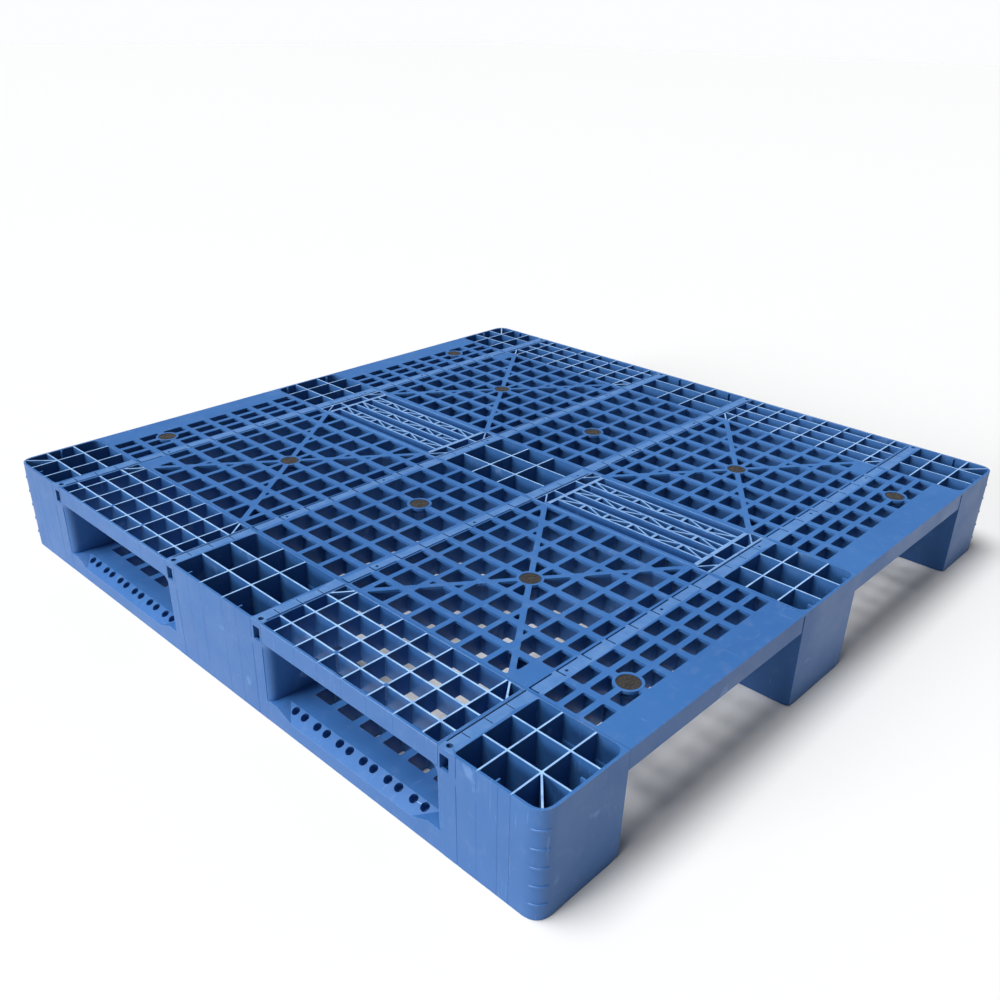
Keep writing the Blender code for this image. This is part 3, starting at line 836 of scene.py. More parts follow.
def ring_of_blocks(radius: float, count: int, size: Sequence[float], material: bpy.types.Material) -> bpy.types.Mesh:
    """Makes raised blocks spaced round a circle, each facing the middle.

    Args: radius: of the circle. count: how many. size: of one block. material: of the blocks.
    Returns: The mesh, about the origin.
    """
    graph = Graph("ring_of_blocks", {"Radius": radius, "Long": size[0], "Wide": size[1], "Tall": size[2]})
    ring = graph.add("GeometryNodeCurvePrimitiveCircle", {"Radius": graph.size("Radius"), "Resolution": 64})
    spots = graph.add("GeometryNodeCurveToPoints", {"Curve": ring.outputs["Curve"], "Count": count})
    measure = graph.add("ShaderNodeCombineXYZ", {"X": graph.size("Long"), "Y": graph.size("Wide"), "Z": graph.size("Tall")})
    cube = graph.add("GeometryNodeMeshCube", {"Size": measure.outputs[0]})
    turn = graph.add(
        "FunctionNodeAlignRotationToVector", {"Vector": spots.outputs["Tangent"]}, axis="X", pivot_axis="Z"
    )
    placed = graph.add(
        "GeometryNodeInstanceOnPoints",
        {"Points": spots.outputs["Points"], "Instance": cube.outputs["Mesh"], "Rotation": turn.outputs[0]},
    )
    return graph.run(placed.outputs[0], material)


def stacked_arcs(
    radius: float, wire: float, pitch: float, lean: float, count: int, sweep: Point, material: bpy.types.Material
) -> bpy.types.Mesh:
    """Makes level ridges round a corner, one above another.

    Args:
        radius: of the corner. wire: half the thickness of a ridge. pitch, count: of the stack.
        lean: how far each ridge is outside the one below, in x and in y.
        sweep: the first angle and the turn of each ridge. material: of the ridges.
    Returns: The mesh, with the corner's axis through the origin.
    """
    graph = Graph("stacked_arcs", {"Radius": radius, "Wire": wire, "Pitch": pitch, "Lean": lean})
    arc = graph.add(
        "GeometryNodeCurveArc",
        {"Radius": graph.size("Radius"), "Start Angle": sweep[0], "Sweep Angle": sweep[1], "Resolution": 14},
    )
    profile = graph.add("GeometryNodeCurvePrimitiveCircle", {"Radius": graph.size("Wire"), "Resolution": 8})
    ridge = graph.add(
        "GeometryNodeCurveToMesh",
        {"Curve": arc.outputs["Curve"], "Profile Curve": profile.outputs["Curve"], "Fill Caps": True},
    )
    step = graph.add(
        "ShaderNodeCombineXYZ", {"X": graph.size("Lean"), "Y": graph.size("Lean"), "Z": graph.size("Pitch")}
    )
    column = graph.add("GeometryNodeMeshLine", {"Count": count, "Offset": step.outputs[0]}, mode="OFFSET")
    placed = graph.add(
        "GeometryNodeInstanceOnPoints", {"Points": column.outputs["Mesh"], "Instance": ridge.outputs["Mesh"]}
    )
    return graph.run(placed.outputs[0], material)


# ---- sub-assemblies -----------------------------------------------------------------------------


def finish_piece(
    node: str, mesh: bpy.types.Mesh, materials: Sequence[bpy.types.Material], slot: Slot
) -> bpy.types.Object:
    """Puts one finished piece in the scene in place of its node.

    Args: node: the frame's node. mesh: in place. materials: by face index. slot: of the record, not used.
    Returns: The new object.
    """
    mesh.shade_flat()
    mesh.materials.clear()
    for material in materials:
        mesh.materials.append(material)
    piece = linked(f"{node}_skin", mesh)
    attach(piece, "root")
    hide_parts(node)
    log.info("%s: %d faces", piece.name, len(mesh.polygons))
    return piece


@dataclass
class DeckPanel:
    """A perforated deck panel: a skin with rounded openings over a grid of thin deep ribs."""

    side: Line
    finishes: Finishes
    plan: Plan = PLAN
    corner: float = 0.0034
    arm_half: float = 0.0042
    boss: float = 0.0196
    rib: float = 0.0030
    ease: float = 0.0007
    slit: float = 0.0023
    dot: float = 0.0024

    def opening_loops(self) -> list[Loop]:
        """Returns: The openings in the skin, for x > 0."""
        plan = self.plan
        loops: list[Loop] = []
        rows = plan.cell_rows()
        last_short = 3 + plan.rows
        for k in range(plan.columns):
            x0, x1 = plan.column(k) + plan.web_x / 2, plan.column(k + 1) - plan.web_x / 2
            for index, (low, high) in enumerate(rows):
                for facing in (-1, 1):
                    if index == last_short and k == plan.columns - 1:
                        continue
                    arms = plan.arms(facing, self.arm_half) if 2 <= index <= last_short else []
                    for part in split(rectangle(x0, facing * low, x1, facing * high), arms):
                        soft = rounded(part, self.corner, 4)
                        for centre in plan.plugs().values():
                            soft = pushed_out(soft, centre, self.boss)
                        loops.append(soft)
        return loops

    def slit_loops(self) -> list[Loop]:
        """Returns: The L-shaped slits and small round holes in the tube bands, for x > 0."""
        plan = self.plan
        loops: list[Loop] = []
        for facing in (-1, 1):
            for band, way in ((plan.middle_band, 1), (plan.end_band, -1)):
                edge = facing * (band + way * (plan.band / 2 - 0.0004))
                inner = edge - facing * way * self.slit
                far = facing * (band - way * (plan.band / 2 - 0.0030))
                for k in range(plan.columns):
                    x0, x1 = plan.column(k) + 0.0042, plan.column(k + 1) - 0.0030
                    loops.append(
                        [(x0, edge), (x1, edge), (x1, far), (x1 - self.slit, far), (x1 - self.slit, inner), (x0, inner)]
                    )
                for column in (2.65, 6.72):
                    loops.append(circle((plan.column(column), facing * band), self.dot, 12))
        return loops

    def rib_loops(self) -> list[Loop]:
        """Returns: The openings between the thin ribs under the skin, for x > 0."""
        plan = self.plan
        grow_x, grow_y = (plan.web_x - self.rib) / 2, (plan.web_y - self.rib) / 2
        rows = plan.cell_rows()
        last = rows[-1][1] + plan.web_y
        rows.append((last, plan.half - 0.0045 - grow_y))
        loops: list[Loop] = []
        for k in range(plan.columns):
            x0, x1 = plan.column(k) + plan.web_x / 2 - grow_x, plan.column(k + 1) - plan.web_x / 2 + grow_x
            for index, (low, high) in enumerate(rows):
                keep_low = 0.0 if index in (2, 4 + plan.rows) else grow_y
                keep_high = 0.0 if index in (1, 3 + plan.rows) else grow_y
                for facing in (-1, 1):
                    cell = rectangle(x0, facing * (low - keep_low), x1, facing * (high + keep_high))
                    arms = plan.arms(facing, self.rib / 2) if 2 <= index <= 3 + plan.rows else []
                    for part in split(cell, arms):
                        soft = rounded(part, 0.0022, 2)
                        for centre in plan.plugs().values():
                            soft = pushed_out(soft, centre, self.boss - 0.0035)
                        loops.append(soft)
        return loops

    def build(self) -> bpy.types.Object:
        """Returns: The finished panel."""
        plan = self.plan
        low_x, high_x = plan.middle_half + plan.gap, plan.leg_inner_x - plan.gap
        outline = rectangle(low_x, -plan.half + plan.gap, high_x, plan.half - plan.gap)
        seats = [circle(centre, 0.0157, 32) for centre in plan.plugs().values()]
        skin = slab(
            [outline, *self.opening_loops(), *self.slit_loops(), *seats], plan.top - plan.skin, plan.top
        )
        skin = eased(skin, self.ease)

        def pale(spot: Vector) -> float:
            return 0.16 if min(abs(abs(spot.y) - band) for band in plan.bands) < plan.band / 2 - 0.001 else 0.0

        # The skin's eased edges are painted paler, partly as wear and partly as painted highlight; the tube bands' tops
        # are made a little paler.
        mark_wear_and_highlight(skin, plan.top, 0.0012, pale)
        inset = 0.0009
        under = rectangle(low_x + inset, -plan.half + inset, high_x - inset, plan.half - inset)
        ribs = slab([under, *self.rib_loops()], plan.height - 0.030, plan.top - plan.skin + 0.0004)
        parts = [skin, ribs]
        for centre in plan.plugs().values():
            ring = slab([circle(centre, self.boss, 48), circle(centre, 0.0160, 48)], plan.top - 0.003, plan.height)
            parts.append(eased(ring, 0.0004))
            base = slab([circle(centre, self.boss - 0.002, 32)], plan.height - 0.012, plan.height - 0.0085)
            parts.append(base)
        for facing in (-1, 1):
            for band in plan.bands:
                near = (low_x + inset, facing * (band - plan.band / 2 + 0.0025), plan.height - plan.beam_depth)
                far = (high_x - inset, facing * (band + plan.band / 2 - 0.0025), plan.height - 0.0335)
                parts.append(block(near, far))
                for way in (-1, 1):
                    wall = facing * (band + way * (plan.band / 2 - 0.0025))
                    corner = (low_x + inset, wall, plan.height - plan.beam_depth)
                    other = (high_x - inset, wall + 0.0016 * way * facing, plan.top - plan.skin)
                    parts.append(block(corner, other))
        whole = joined(parts)
        if self.side is Line.LEFT:
            whole.transform(Matrix.Rotation(math.pi, 4, "Z"))
        return finish_piece(f"deck_panel_{self.side.name.lower()}", whole, [self.finishes.plastic], Slot.PLASTIC)


@dataclass
class Leg:
    """A hollow leg: thin-walled cells up to the deck, a wider foot below the spans and slots for tubes."""

    row: Row
    line: Line
    finishes: Finishes
    plan: Plan = PLAN
    rib: float = 0.0024
    rim: float = 0.0040
    corner_round: float = 0.0255
    ridge_round: float = 0.0168
    ridge: float = 0.0014
    ridge_pitch: float = 0.0262
    ridge_low: float = 0.0225
    ridges: int = 5
    foot_round: float = 0.0150
    cell_round: float = 0.0160
    draft: float = 0.0020
    flare_x: float = 0.0110
    flare_y: float = 0.0150
    floor: float = 0.0160
    slot_wide: float = 0.0140
    slot_tall: float = 0.0240
    slot_top: float = 0.0090

    @property
    def box_x(self) -> Point:
        """Returns: The leg's range in x."""
        plan = self.plan
        if self.line is Line.CENTRE:
            return -plan.middle_half, plan.middle_half
        low, high = sorted((self.line.value * plan.leg_inner_x, self.line.value * plan.half))
        return low, high

    @property
    def box_y(self) -> Point:
        """Returns: The range in y of the part that shows in the deck."""
        plan = self.plan
        if self.row is Row.MIDDLE:
            return -plan.span_low, plan.span_low
        low, high = sorted((self.row.value * plan.span_high, self.row.value * plan.half))
        return low, high

    @property
    def jambs(self) -> tuple[int, ...]:
        """Returns: The ways in y in which a window is next to this leg."""
        return (-1, 1) if self.row is Row.MIDDLE else (-self.row.value,)

    def cell_lines(self) -> tuple[list[float], list[float]]:
        """Returns: The middle lines of the ribs, in x and in y."""
        plan, half_rib = self.plan, self.rib / 2
        if self.line is Line.CENTRE:
            wall = plan.middle_half - self.rim + half_rib
            xs = [-wall, -0.027, 0.027, wall]
        else:
            outer = plan.half - self.rim + half_rib
            found = [plan.leg_inner_x + half_rib + 0.0006, plan.half - 0.0945, plan.half - 0.0475, outer]
            xs = sorted(self.line.value * x for x in found)
        if self.row is Row.MIDDLE:
            end = plan.middle_band - plan.band / 2 - half_rib
            mid = 0.0295 if self.line is Line.CENTRE else 0.027
            ys = [-end, -mid, mid, end]
        else:
            low = plan.end_band + plan.band / 2 + half_rib
            found = [low, plan.half - 0.0933, plan.half - 0.0443, plan.half - self.rim + half_rib]
            ys = sorted(self.row.value * y for y in found)
        return xs, ys

    def corner_radius(self, point: Point, edge_x: Point, edge_y: Point) -> float:
        """Args: point: a cell's corner. edge_x, edge_y: the ends of the block of cells.

        Returns: How far that corner is rounded.
        """
        at_x = min(abs(point[0] - x) for x in edge_x) < 0.004
        at_y = min(abs(point[1] - y) for y in edge_y) < 0.004
        if not (at_x and at_y):
            return 0.0012
        at_border = self.row is not Row.MIDDLE and abs(point[1]) > self.plan.half - 0.010
        if at_border and abs(point[0]) > self.plan.half - 0.010:
            return self.corner_round - self.rim
        return self.cell_round if at_border else 0.004

    def cells(self) -> list[Loop]:
        """Returns: The openings of the cells."""
        xs, ys = self.cell_lines()
        half_rib = self.rib / 2
        loops: list[Loop] = []
        for x0, x1 in zip(xs, xs[1:]):
            for y0, y1 in zip(ys, ys[1:]):
                cell = rectangle(x0 + half_rib, y0 + half_rib, x1 - half_rib, y1 - half_rib)
                soft = rounded(cell, lambda p: self.corner_radius(p, (xs[0], xs[-1]), (ys[0], ys[-1])), 6)
                is_corner = self.line is not Line.CENTRE and self.row is not Row.MIDDLE
                outermost = abs(x0 + x1) / 2 > self.plan.half - 0.030 and abs(y0 + y1) / 2 > self.plan.half - 0.030
                if is_corner and outermost:
                    inner = (xs[1] if self.line is Line.LEFT else xs[-2], ys[1] if self.row is Row.FRONT else ys[-2])
                    outer = (self.line.value * (self.plan.half - 0.010), self.row.value * (self.plan.half - 0.010))
                    way = (outer[0] - inner[0], outer[1] - inner[1])
                    loops.extend(split(soft, [Strip(inner, way, half_rib)]))
                else:
                    loops.append(soft)
        return loops

    def band_slits(self) -> list[Loop]:
        """Returns: The slits and the round hole in the tube bands at the top."""
        plan = self.plan
        loops: list[Loop] = []
        x0, x1 = self.box_x
        bands = (-plan.middle_band, plan.middle_band) if self.row is Row.MIDDLE else (self.row.value * plan.end_band,)
        for band in bands:
            way = math.copysign(1, band) * (1 if self.row is Row.MIDDLE else -1)
            edge = band + way * (plan.band / 2 - 0.0010)
            inner = edge - way * 0.0020
            from_ends = {Line.LEFT: (0.012, 0.002), Line.CENTRE: (0.004, 0.010), Line.RIGHT: (0.002, 0.012)}
            before, after = from_ends[self.line]
            loops.append(rectangle(x0 + before, edge, x1 - after, inner))
            for k in range(1, 4):
                x = x0 + (x1 - x0) * k / 4 + (0.002 if self.line is Line.RIGHT else -0.002)
                far = band - way * (plan.band / 2 - 0.0030)
                loops.append(rectangle(x - 0.0008, inner - way * 0.0005, x + 0.0008, far))
            if self.line is Line.CENTRE:
                loops.append(circle((0.046, band), 0.0022, 12))
            else:
                loops.append(circle((self.line.value * 0.591, band), 0.0040, 20))
        return loops

    def stubs(self) -> list[bpy.types.Mesh]:
        """Returns: The short upright ribs on the inside of the outer walls."""
        plan, found = self.plan, []
        low, high, deep = self.floor, plan.top - 0.0006, 0.0072
        xs, ys = self.cell_lines()
        if self.line is not Line.CENTRE:
            wall = self.line.value * (plan.half - self.rim + 0.0004)
            inward = wall - self.line.value * deep
            spots = [(ys[1] + ys[2]) / 2] if self.row is not Row.MIDDLE else [(ys[0] + ys[1]) / 2, (ys[2] + ys[3]) / 2]
            found += [block((wall, y - 0.0011, low), (inward, y + 0.0011, high)) for y in spots]
        if self.row is not Row.MIDDLE:
            wall = self.row.value * (plan.half - self.rim + 0.0004)
            inward = wall - self.row.value * deep
            spots = [(xs[1] + xs[2]) / 2] if self.line is not Line.CENTRE else [(xs[0] + xs[1]) / 2, (xs[2] + xs[3]) / 2]
            found += [block((x - 0.0011, wall, low), (x + 0.0011, inward, high)) for x in spots]
        return found

    def tube_slots(self) -> list[bpy.types.Mesh]:
        """Returns: Cutters for the tall slots in the outer face."""
        if self.line is Line.CENTRE:
            return []
        plan, found = self.plan, []
        bands = (-plan.middle_band, plan.middle_band) if self.row is Row.MIDDLE else (self.row.value * plan.end_band,)
        for band in bands:
            low_z = plan.height - self.slot_top - self.slot_tall
            low = (self.line.value * (plan.half + 0.01), band - self.slot_wide / 2, low_z)
            high = (self.line.value * (plan.half - 0.0170), band + self.slot_wide / 2, low_z + self.slot_tall)
            found.append(block(low, high))
        return found

    def drafted(self, mesh: bpy.types.Mesh, top: float, by: float) -> None:
        """Draws an upright mesh in towards its foot.

        Args: mesh: what is changed. top: z where the draft starts. by: how far the foot's sides move.
        """
        points = [v.co for v in mesh.vertices]
        middle = [(min(p[k] for p in points) + max(p[k] for p in points)) / 2 for k in range(2)]
        half = [(max(p[k] for p in points) - min(p[k] for p in points)) / 2 for k in range(2)]
        for vertex in mesh.vertices:
            share = max(0.0, (top - vertex.co.z) / top)
            for k in range(2):
                vertex.co[k] = middle[k] + (vertex.co[k] - middle[k]) * (half[k] - by * share) / half[k]

    def flared(self, mesh: bpy.types.Mesh, top: float) -> None:
        """Curves the top of the foot out to meet the spans and the deck panels.

        Args: mesh: the foot. top: z of its top.
        """
        (x0, x1), (y0, y1) = self.box_x, self.box_y
        ways_x = (-1, 1) if self.line is Line.CENTRE else (-self.line.value,)
        middle = ((x0 + x1) / 2, (y0 + y1) / 2)
        opened_up(mesh, [top - self.flare_y * share for share in (1.0, 0.8, 0.6, 0.42, 0.27, 0.15, 0.06)])
        for vertex in mesh.vertices:
            for k, ways, reach in ((0, ways_x, self.flare_x), (1, self.jambs, self.flare_y)):
                rise = vertex.co.z - (top - reach)
                way = math.copysign(1, vertex.co[k] - middle[k])
                if rise > 0 and way in ways:
                    vertex.co[k] += way * (reach - math.sqrt(max(0.0, reach * reach - rise * rise)))

    def build(self) -> bpy.types.Object:
        """Returns: The finished leg."""
        plan = self.plan
        (x0, x1), (y0, y1) = self.box_x, self.box_y
        foot_y0 = y0 - plan.shoulder if -1 in self.jambs else y0
        foot_y1 = y1 + plan.shoulder if 1 in self.jambs else y1
        shoulder_z = plan.height - plan.span_depth - plan.gap

        def outer(point: Point) -> bool:
            return abs(point[0]) > plan.half - 0.01 and abs(point[1]) > plan.half - 0.01

        edge = 0.0002
        face = self.line.value * (plan.half - edge)
        seams = self.seams()
        outline = rounded(
            rectangle(x0 + edge, y0 + edge, x1 - edge, y1 - edge), lambda p: self.corner_round if outer(p) else 0.0, 24
        )
        outline = grooved(outline, face, seams) if self.line is not Line.CENTRE else outline
        body = slab([outline, *self.cells(), *self.band_slits()], 0.004, plan.top)
        opened_up(body, [shoulder_z])
        self.drafted(body, shoulder_z - 0.001, self.draft + 0.0001)
        foot_loop = rounded(
            rectangle(x0 + edge, foot_y0 + edge, x1 - edge, foot_y1 - edge),
            lambda p: self.corner_round if outer(p) else self.foot_round,
            24,
        )
        foot_loop = grooved(foot_loop, face, seams) if self.line is not Line.CENTRE else foot_loop
        hollow = rectangle(x0 + self.rim, foot_y0 + self.rim, x1 - self.rim, foot_y1 - self.rim)
        hollow = rounded(hollow, lambda p: self.foot_round - self.rim, 8)
        foot = slab([foot_loop, hollow], 0.0, shoulder_z)
        self.flared(foot, shoulder_z)
        self.drafted(foot, shoulder_z, self.draft)
        base = rounded(rectangle(x0 + 0.007, foot_y0 + 0.007, x1 - 0.007, foot_y1 - 0.007), 0.012, 4)
        slots = self.tube_slots()
        if slots:
            body = cut(body, slots)
        body = eased(body, 0.00050)
        xs, ys = self.cell_lines()

        # The thin rib tops in the block of cells and the eased edges are painted much paler, partly as wear and partly
        # as painted highlight; the tube bands a little paler.
        def pale(spot: Vector) -> float:
            in_block = xs[0] + 0.0014 < spot.x < xs[-1] - 0.0014 and ys[0] + 0.0014 < spot.y < ys[-1] - 0.0014
            in_band = min(abs(abs(spot.y) - band) for band in plan.bands) < plan.band / 2 - 0.001
            at_end = self.row is not Row.MIDDLE and abs(spot.y) > plan.half - 0.0135
            if at_end and min(spot.x - xs[0], xs[-1] - spot.x) < 0.0100:
                return 0.0
            return 0.85 if in_block else 0.16 if in_band else 0.0

        mark_wear_and_highlight(body, plan.top, 0.0010, pale)
        parts = [body, foot, slab([base], self.floor - 0.004, self.floor), *self.stubs()]
        if self.line is not Line.CENTRE and self.row is not Row.MIDDLE:
            parts.append(self.corner_ridges())
        name = f"leg_{self.row.name.lower()}_{self.line.name.lower()}"
        return finish_piece(name, joined(parts), [self.finishes.plastic], Slot.PLASTIC)

    def seams(self) -> list[Point]:
        """Returns: (y, depth) of the upright parting lines and sink lines on the outer face."""
        plan = self.plan
        if self.row is Row.MIDDLE:
            strong, faint = (-0.095, 0.095), (-0.027, 0.027, -0.060, 0.060)
        else:
            sign = self.row.value
            strong = (sign * 0.476,)
            faint = (sign * (plan.half - 0.0933), sign * (plan.half - 0.0443), sign * 0.538)
        return [(y, 0.0008) for y in strong] + [(y, 0.00035) for y in faint]

    def corner_ridges(self) -> bpy.types.Mesh:
        """Returns: The stack of shallow level ridges round the pallet's corner."""
        lean = self.draft * self.ridge_pitch / self.plan.height
        reach = self.ridge_round + self.ridge * 0.92
        start = self.plan.half - reach - self.draft + lean * self.ridge_low / self.ridge_pitch
        sweep = (math.radians(8), math.radians(74))
        ridges = stacked_arcs(
            self.ridge_round, self.ridge, self.ridge_pitch, lean, self.ridges, sweep, self.finishes.plastic
        )
        turn = {(1, 1): 0, (-1, 1): 90, (-1, -1): 180, (1, -1): 270}[(self.line.value, self.row.value)]
        place = Matrix.Translation((start, start, self.ridge_low))
        ridges.transform(Matrix.Rotation(math.radians(turn), 4, "Z") @ place)
        return ridges


@dataclass
class WindowSpan:
    """The cellular span over a side window: thin upright ribs between two plain walls."""

    row: Row
    line: Line
    finishes: Finishes
    plan: Plan = PLAN
    rib: float = 0.0025
    rim: float = 0.0040
    from_edge: float = 0.0308
    pitch: float = 0.0377
    columns: int = 4
    dot: float = 0.0036

    def build(self) -> bpy.types.Object:
        """Returns: The finished span."""
        plan, side, facing = self.plan, self.line.value, self.row.value
        low, high = plan.span_low + plan.gap, plan.span_high - plan.gap
        edge = 0.0002
        outline = rectangle(
            side * (plan.leg_inner_x + edge), facing * low, side * (plan.half - edge), facing * high
        )
        ribs = [plan.half - self.from_edge - k * self.pitch for k in range(self.columns - 1)]
        lines = [plan.half - self.rim + self.rib / 2, *ribs, plan.leg_inner_x + self.rib / 2 + 0.0008]
        rows = plan.cell_rows()[2 : 3 + plan.rows + 1]
        webs = [plan.grid_inner + k * plan.row_pitch for k in range(plan.rows + 1)]
        ends = [rows[0][0] - self.rib / 2, *webs, rows[-1][1] + self.rib / 2]
        thin = [
            Strip((side * s.centre[0], s.centre[1]), (side * s.direction[0], s.direction[1]), 0.0012)
            for s in plan.arms(facing, 0.0)
        ]
        loops: list[Loop] = []
        for outer, inner in zip(lines, lines[1:]):
            for index, (a, b) in enumerate(zip(ends, ends[1:])):
                cell = rectangle(
                    side * (outer - self.rib / 2), facing * (a + self.rib / 2),
                    side * (inner + self.rib / 2), facing * (b - self.rib / 2),
                )
                reached = inner == lines[-1] and index in (0, len(ends) - 2)
                for part in split(cell, thin if reached else []):
                    loops.append(rounded(part, 0.0016, 2))
        lines_y = [(facing * web, 0.00030) for web in webs[1:-1]]
        outline = grooved(outline, side * (plan.half - edge), lines_y)
        body = eased(slab([outline, *loops], plan.height - plan.span_depth, plan.top), 0.0005)
        inner_x, outer_x = plan.leg_inner_x + self.rib + 0.001, plan.half - self.rim

        # The thin rib tops and the eased edges are painted much paler, partly as wear and partly as painted highlight.
        def pale(spot: Vector) -> float:
            inside = inner_x < abs(spot.x) < outer_x and ends[0] + 0.0015 < abs(spot.y) < ends[-1] - 0.0015
            return 0.85 if inside else 0.0

        mark_wear_and_highlight(body, plan.top, 0.0010, pale)
        parts = [body]
        for row in (2, 4):
            spot = Matrix.Translation((side * ribs[0], facing * webs[row], 0))
            parts.append(eased(rod(self.dot, plan.height - 0.020, plan.top + 0.0002, spot, 14), 0.0004))
        name = f"window_span_{self.row.name.lower()}_{self.line.name.lower()}"
        return finish_piece(name, joined(parts), [self.finishes.plastic], Slot.PLASTIC)


@dataclass
class RibbedSpan:
    """The span over a window of the middle line: long channels between three trussed strips."""

    row: Row
    finishes: Finishes
    plan: Plan = PLAN
    channels: int = 4
    channel: float = 0.0195
    truss: float = 0.0200
    depth: float = 0.0200
    bar: float = 0.0048
    rib: float = 0.0026

    def build(self) -> bpy.types.Object:
        """Returns: The finished span."""
        plan, facing = self.plan, self.row.value
        low, high = plan.span_low + plan.gap, plan.span_high - plan.gap
        outline = rectangle(-plan.middle_half, facing * low, plan.middle_half, facing * high)
        wide = self.channels * self.channel + (self.channels - 1) * self.truss
        start, end = plan.grid_inner + self.bar / 2, plan.grid_outer - self.bar / 2
        loops: list[Loop] = []
        parts: list[bpy.types.Mesh] = []
        for k in range(self.channels):
            x = -wide / 2 + k * (self.channel + self.truss)
            loops.append(rounded(rectangle(x, facing * start, x + self.channel, facing * end), 0.0018, 2))
            floor_z = plan.height - self.depth
            parts.append(block((x - 0.0008, facing * (start - 0.001), floor_z - 0.003),
                               (x + self.channel + 0.0008, facing * (end + 0.001), floor_z)))
        for k in range(self.channels - 1):
            x = -wide / 2 + self.channel + k * (self.channel + self.truss)
            for bay in range(plan.rows):
                a = plan.grid_inner + bay * plan.row_pitch + self.bar / 2
                b = a + plan.row_pitch - self.bar
                cell = rectangle(x + self.rib, facing * a, x + self.truss - self.rib, facing * b)
                slope = 1 if (bay + k // 2) % 2 else -1
                middle = (x + self.truss / 2, facing * (a + b) / 2)
                way = (slope * (self.truss - self.rib), b - a)
                for part in split(cell, [Strip(middle, way, self.rib / 2)]):
                    loops.append(rounded(part, 0.0014, 2))
        thin = []
        for side in (-1, 1):
            for strip in plan.arms(facing, 0.0):
                way = (side * strip.direction[0], strip.direction[1])
                thin.append(Strip((side * strip.centre[0], strip.centre[1]), way, 0.0012))
        rows = plan.cell_rows()
        for a, b in (rows[2], rows[3 + plan.rows]):
            for x0, x1 in ((-0.0735, -0.0283), (-0.0257, 0.0257), (0.0283, 0.0735)):
                cell = rectangle(x0, facing * a, x1, facing * b)
                near = [strip for strip in thin if strip.centre[0] * (x0 + x1) > 0]
                for part in split(cell, near):
                    loops.append(rounded(part, 0.0014, 2))
        body = eased(slab([outline, *loops], plan.height - plan.span_depth, plan.top), 0.0005)

        # The tops between the channels and the eased edges are painted paler, partly as wear and partly as painted
        # highlight.
        def pale(spot: Vector) -> float:
            return 0.45 if abs(spot.x) < wide / 2 else 0.0

        mark_wear_and_highlight(body, plan.top, 0.0010, pale)
        whole = joined([body, *parts])
        return finish_piece(f"ribbed_span_{self.row.name.lower()}", whole, [self.finishes.plastic], Slot.PLASTIC)


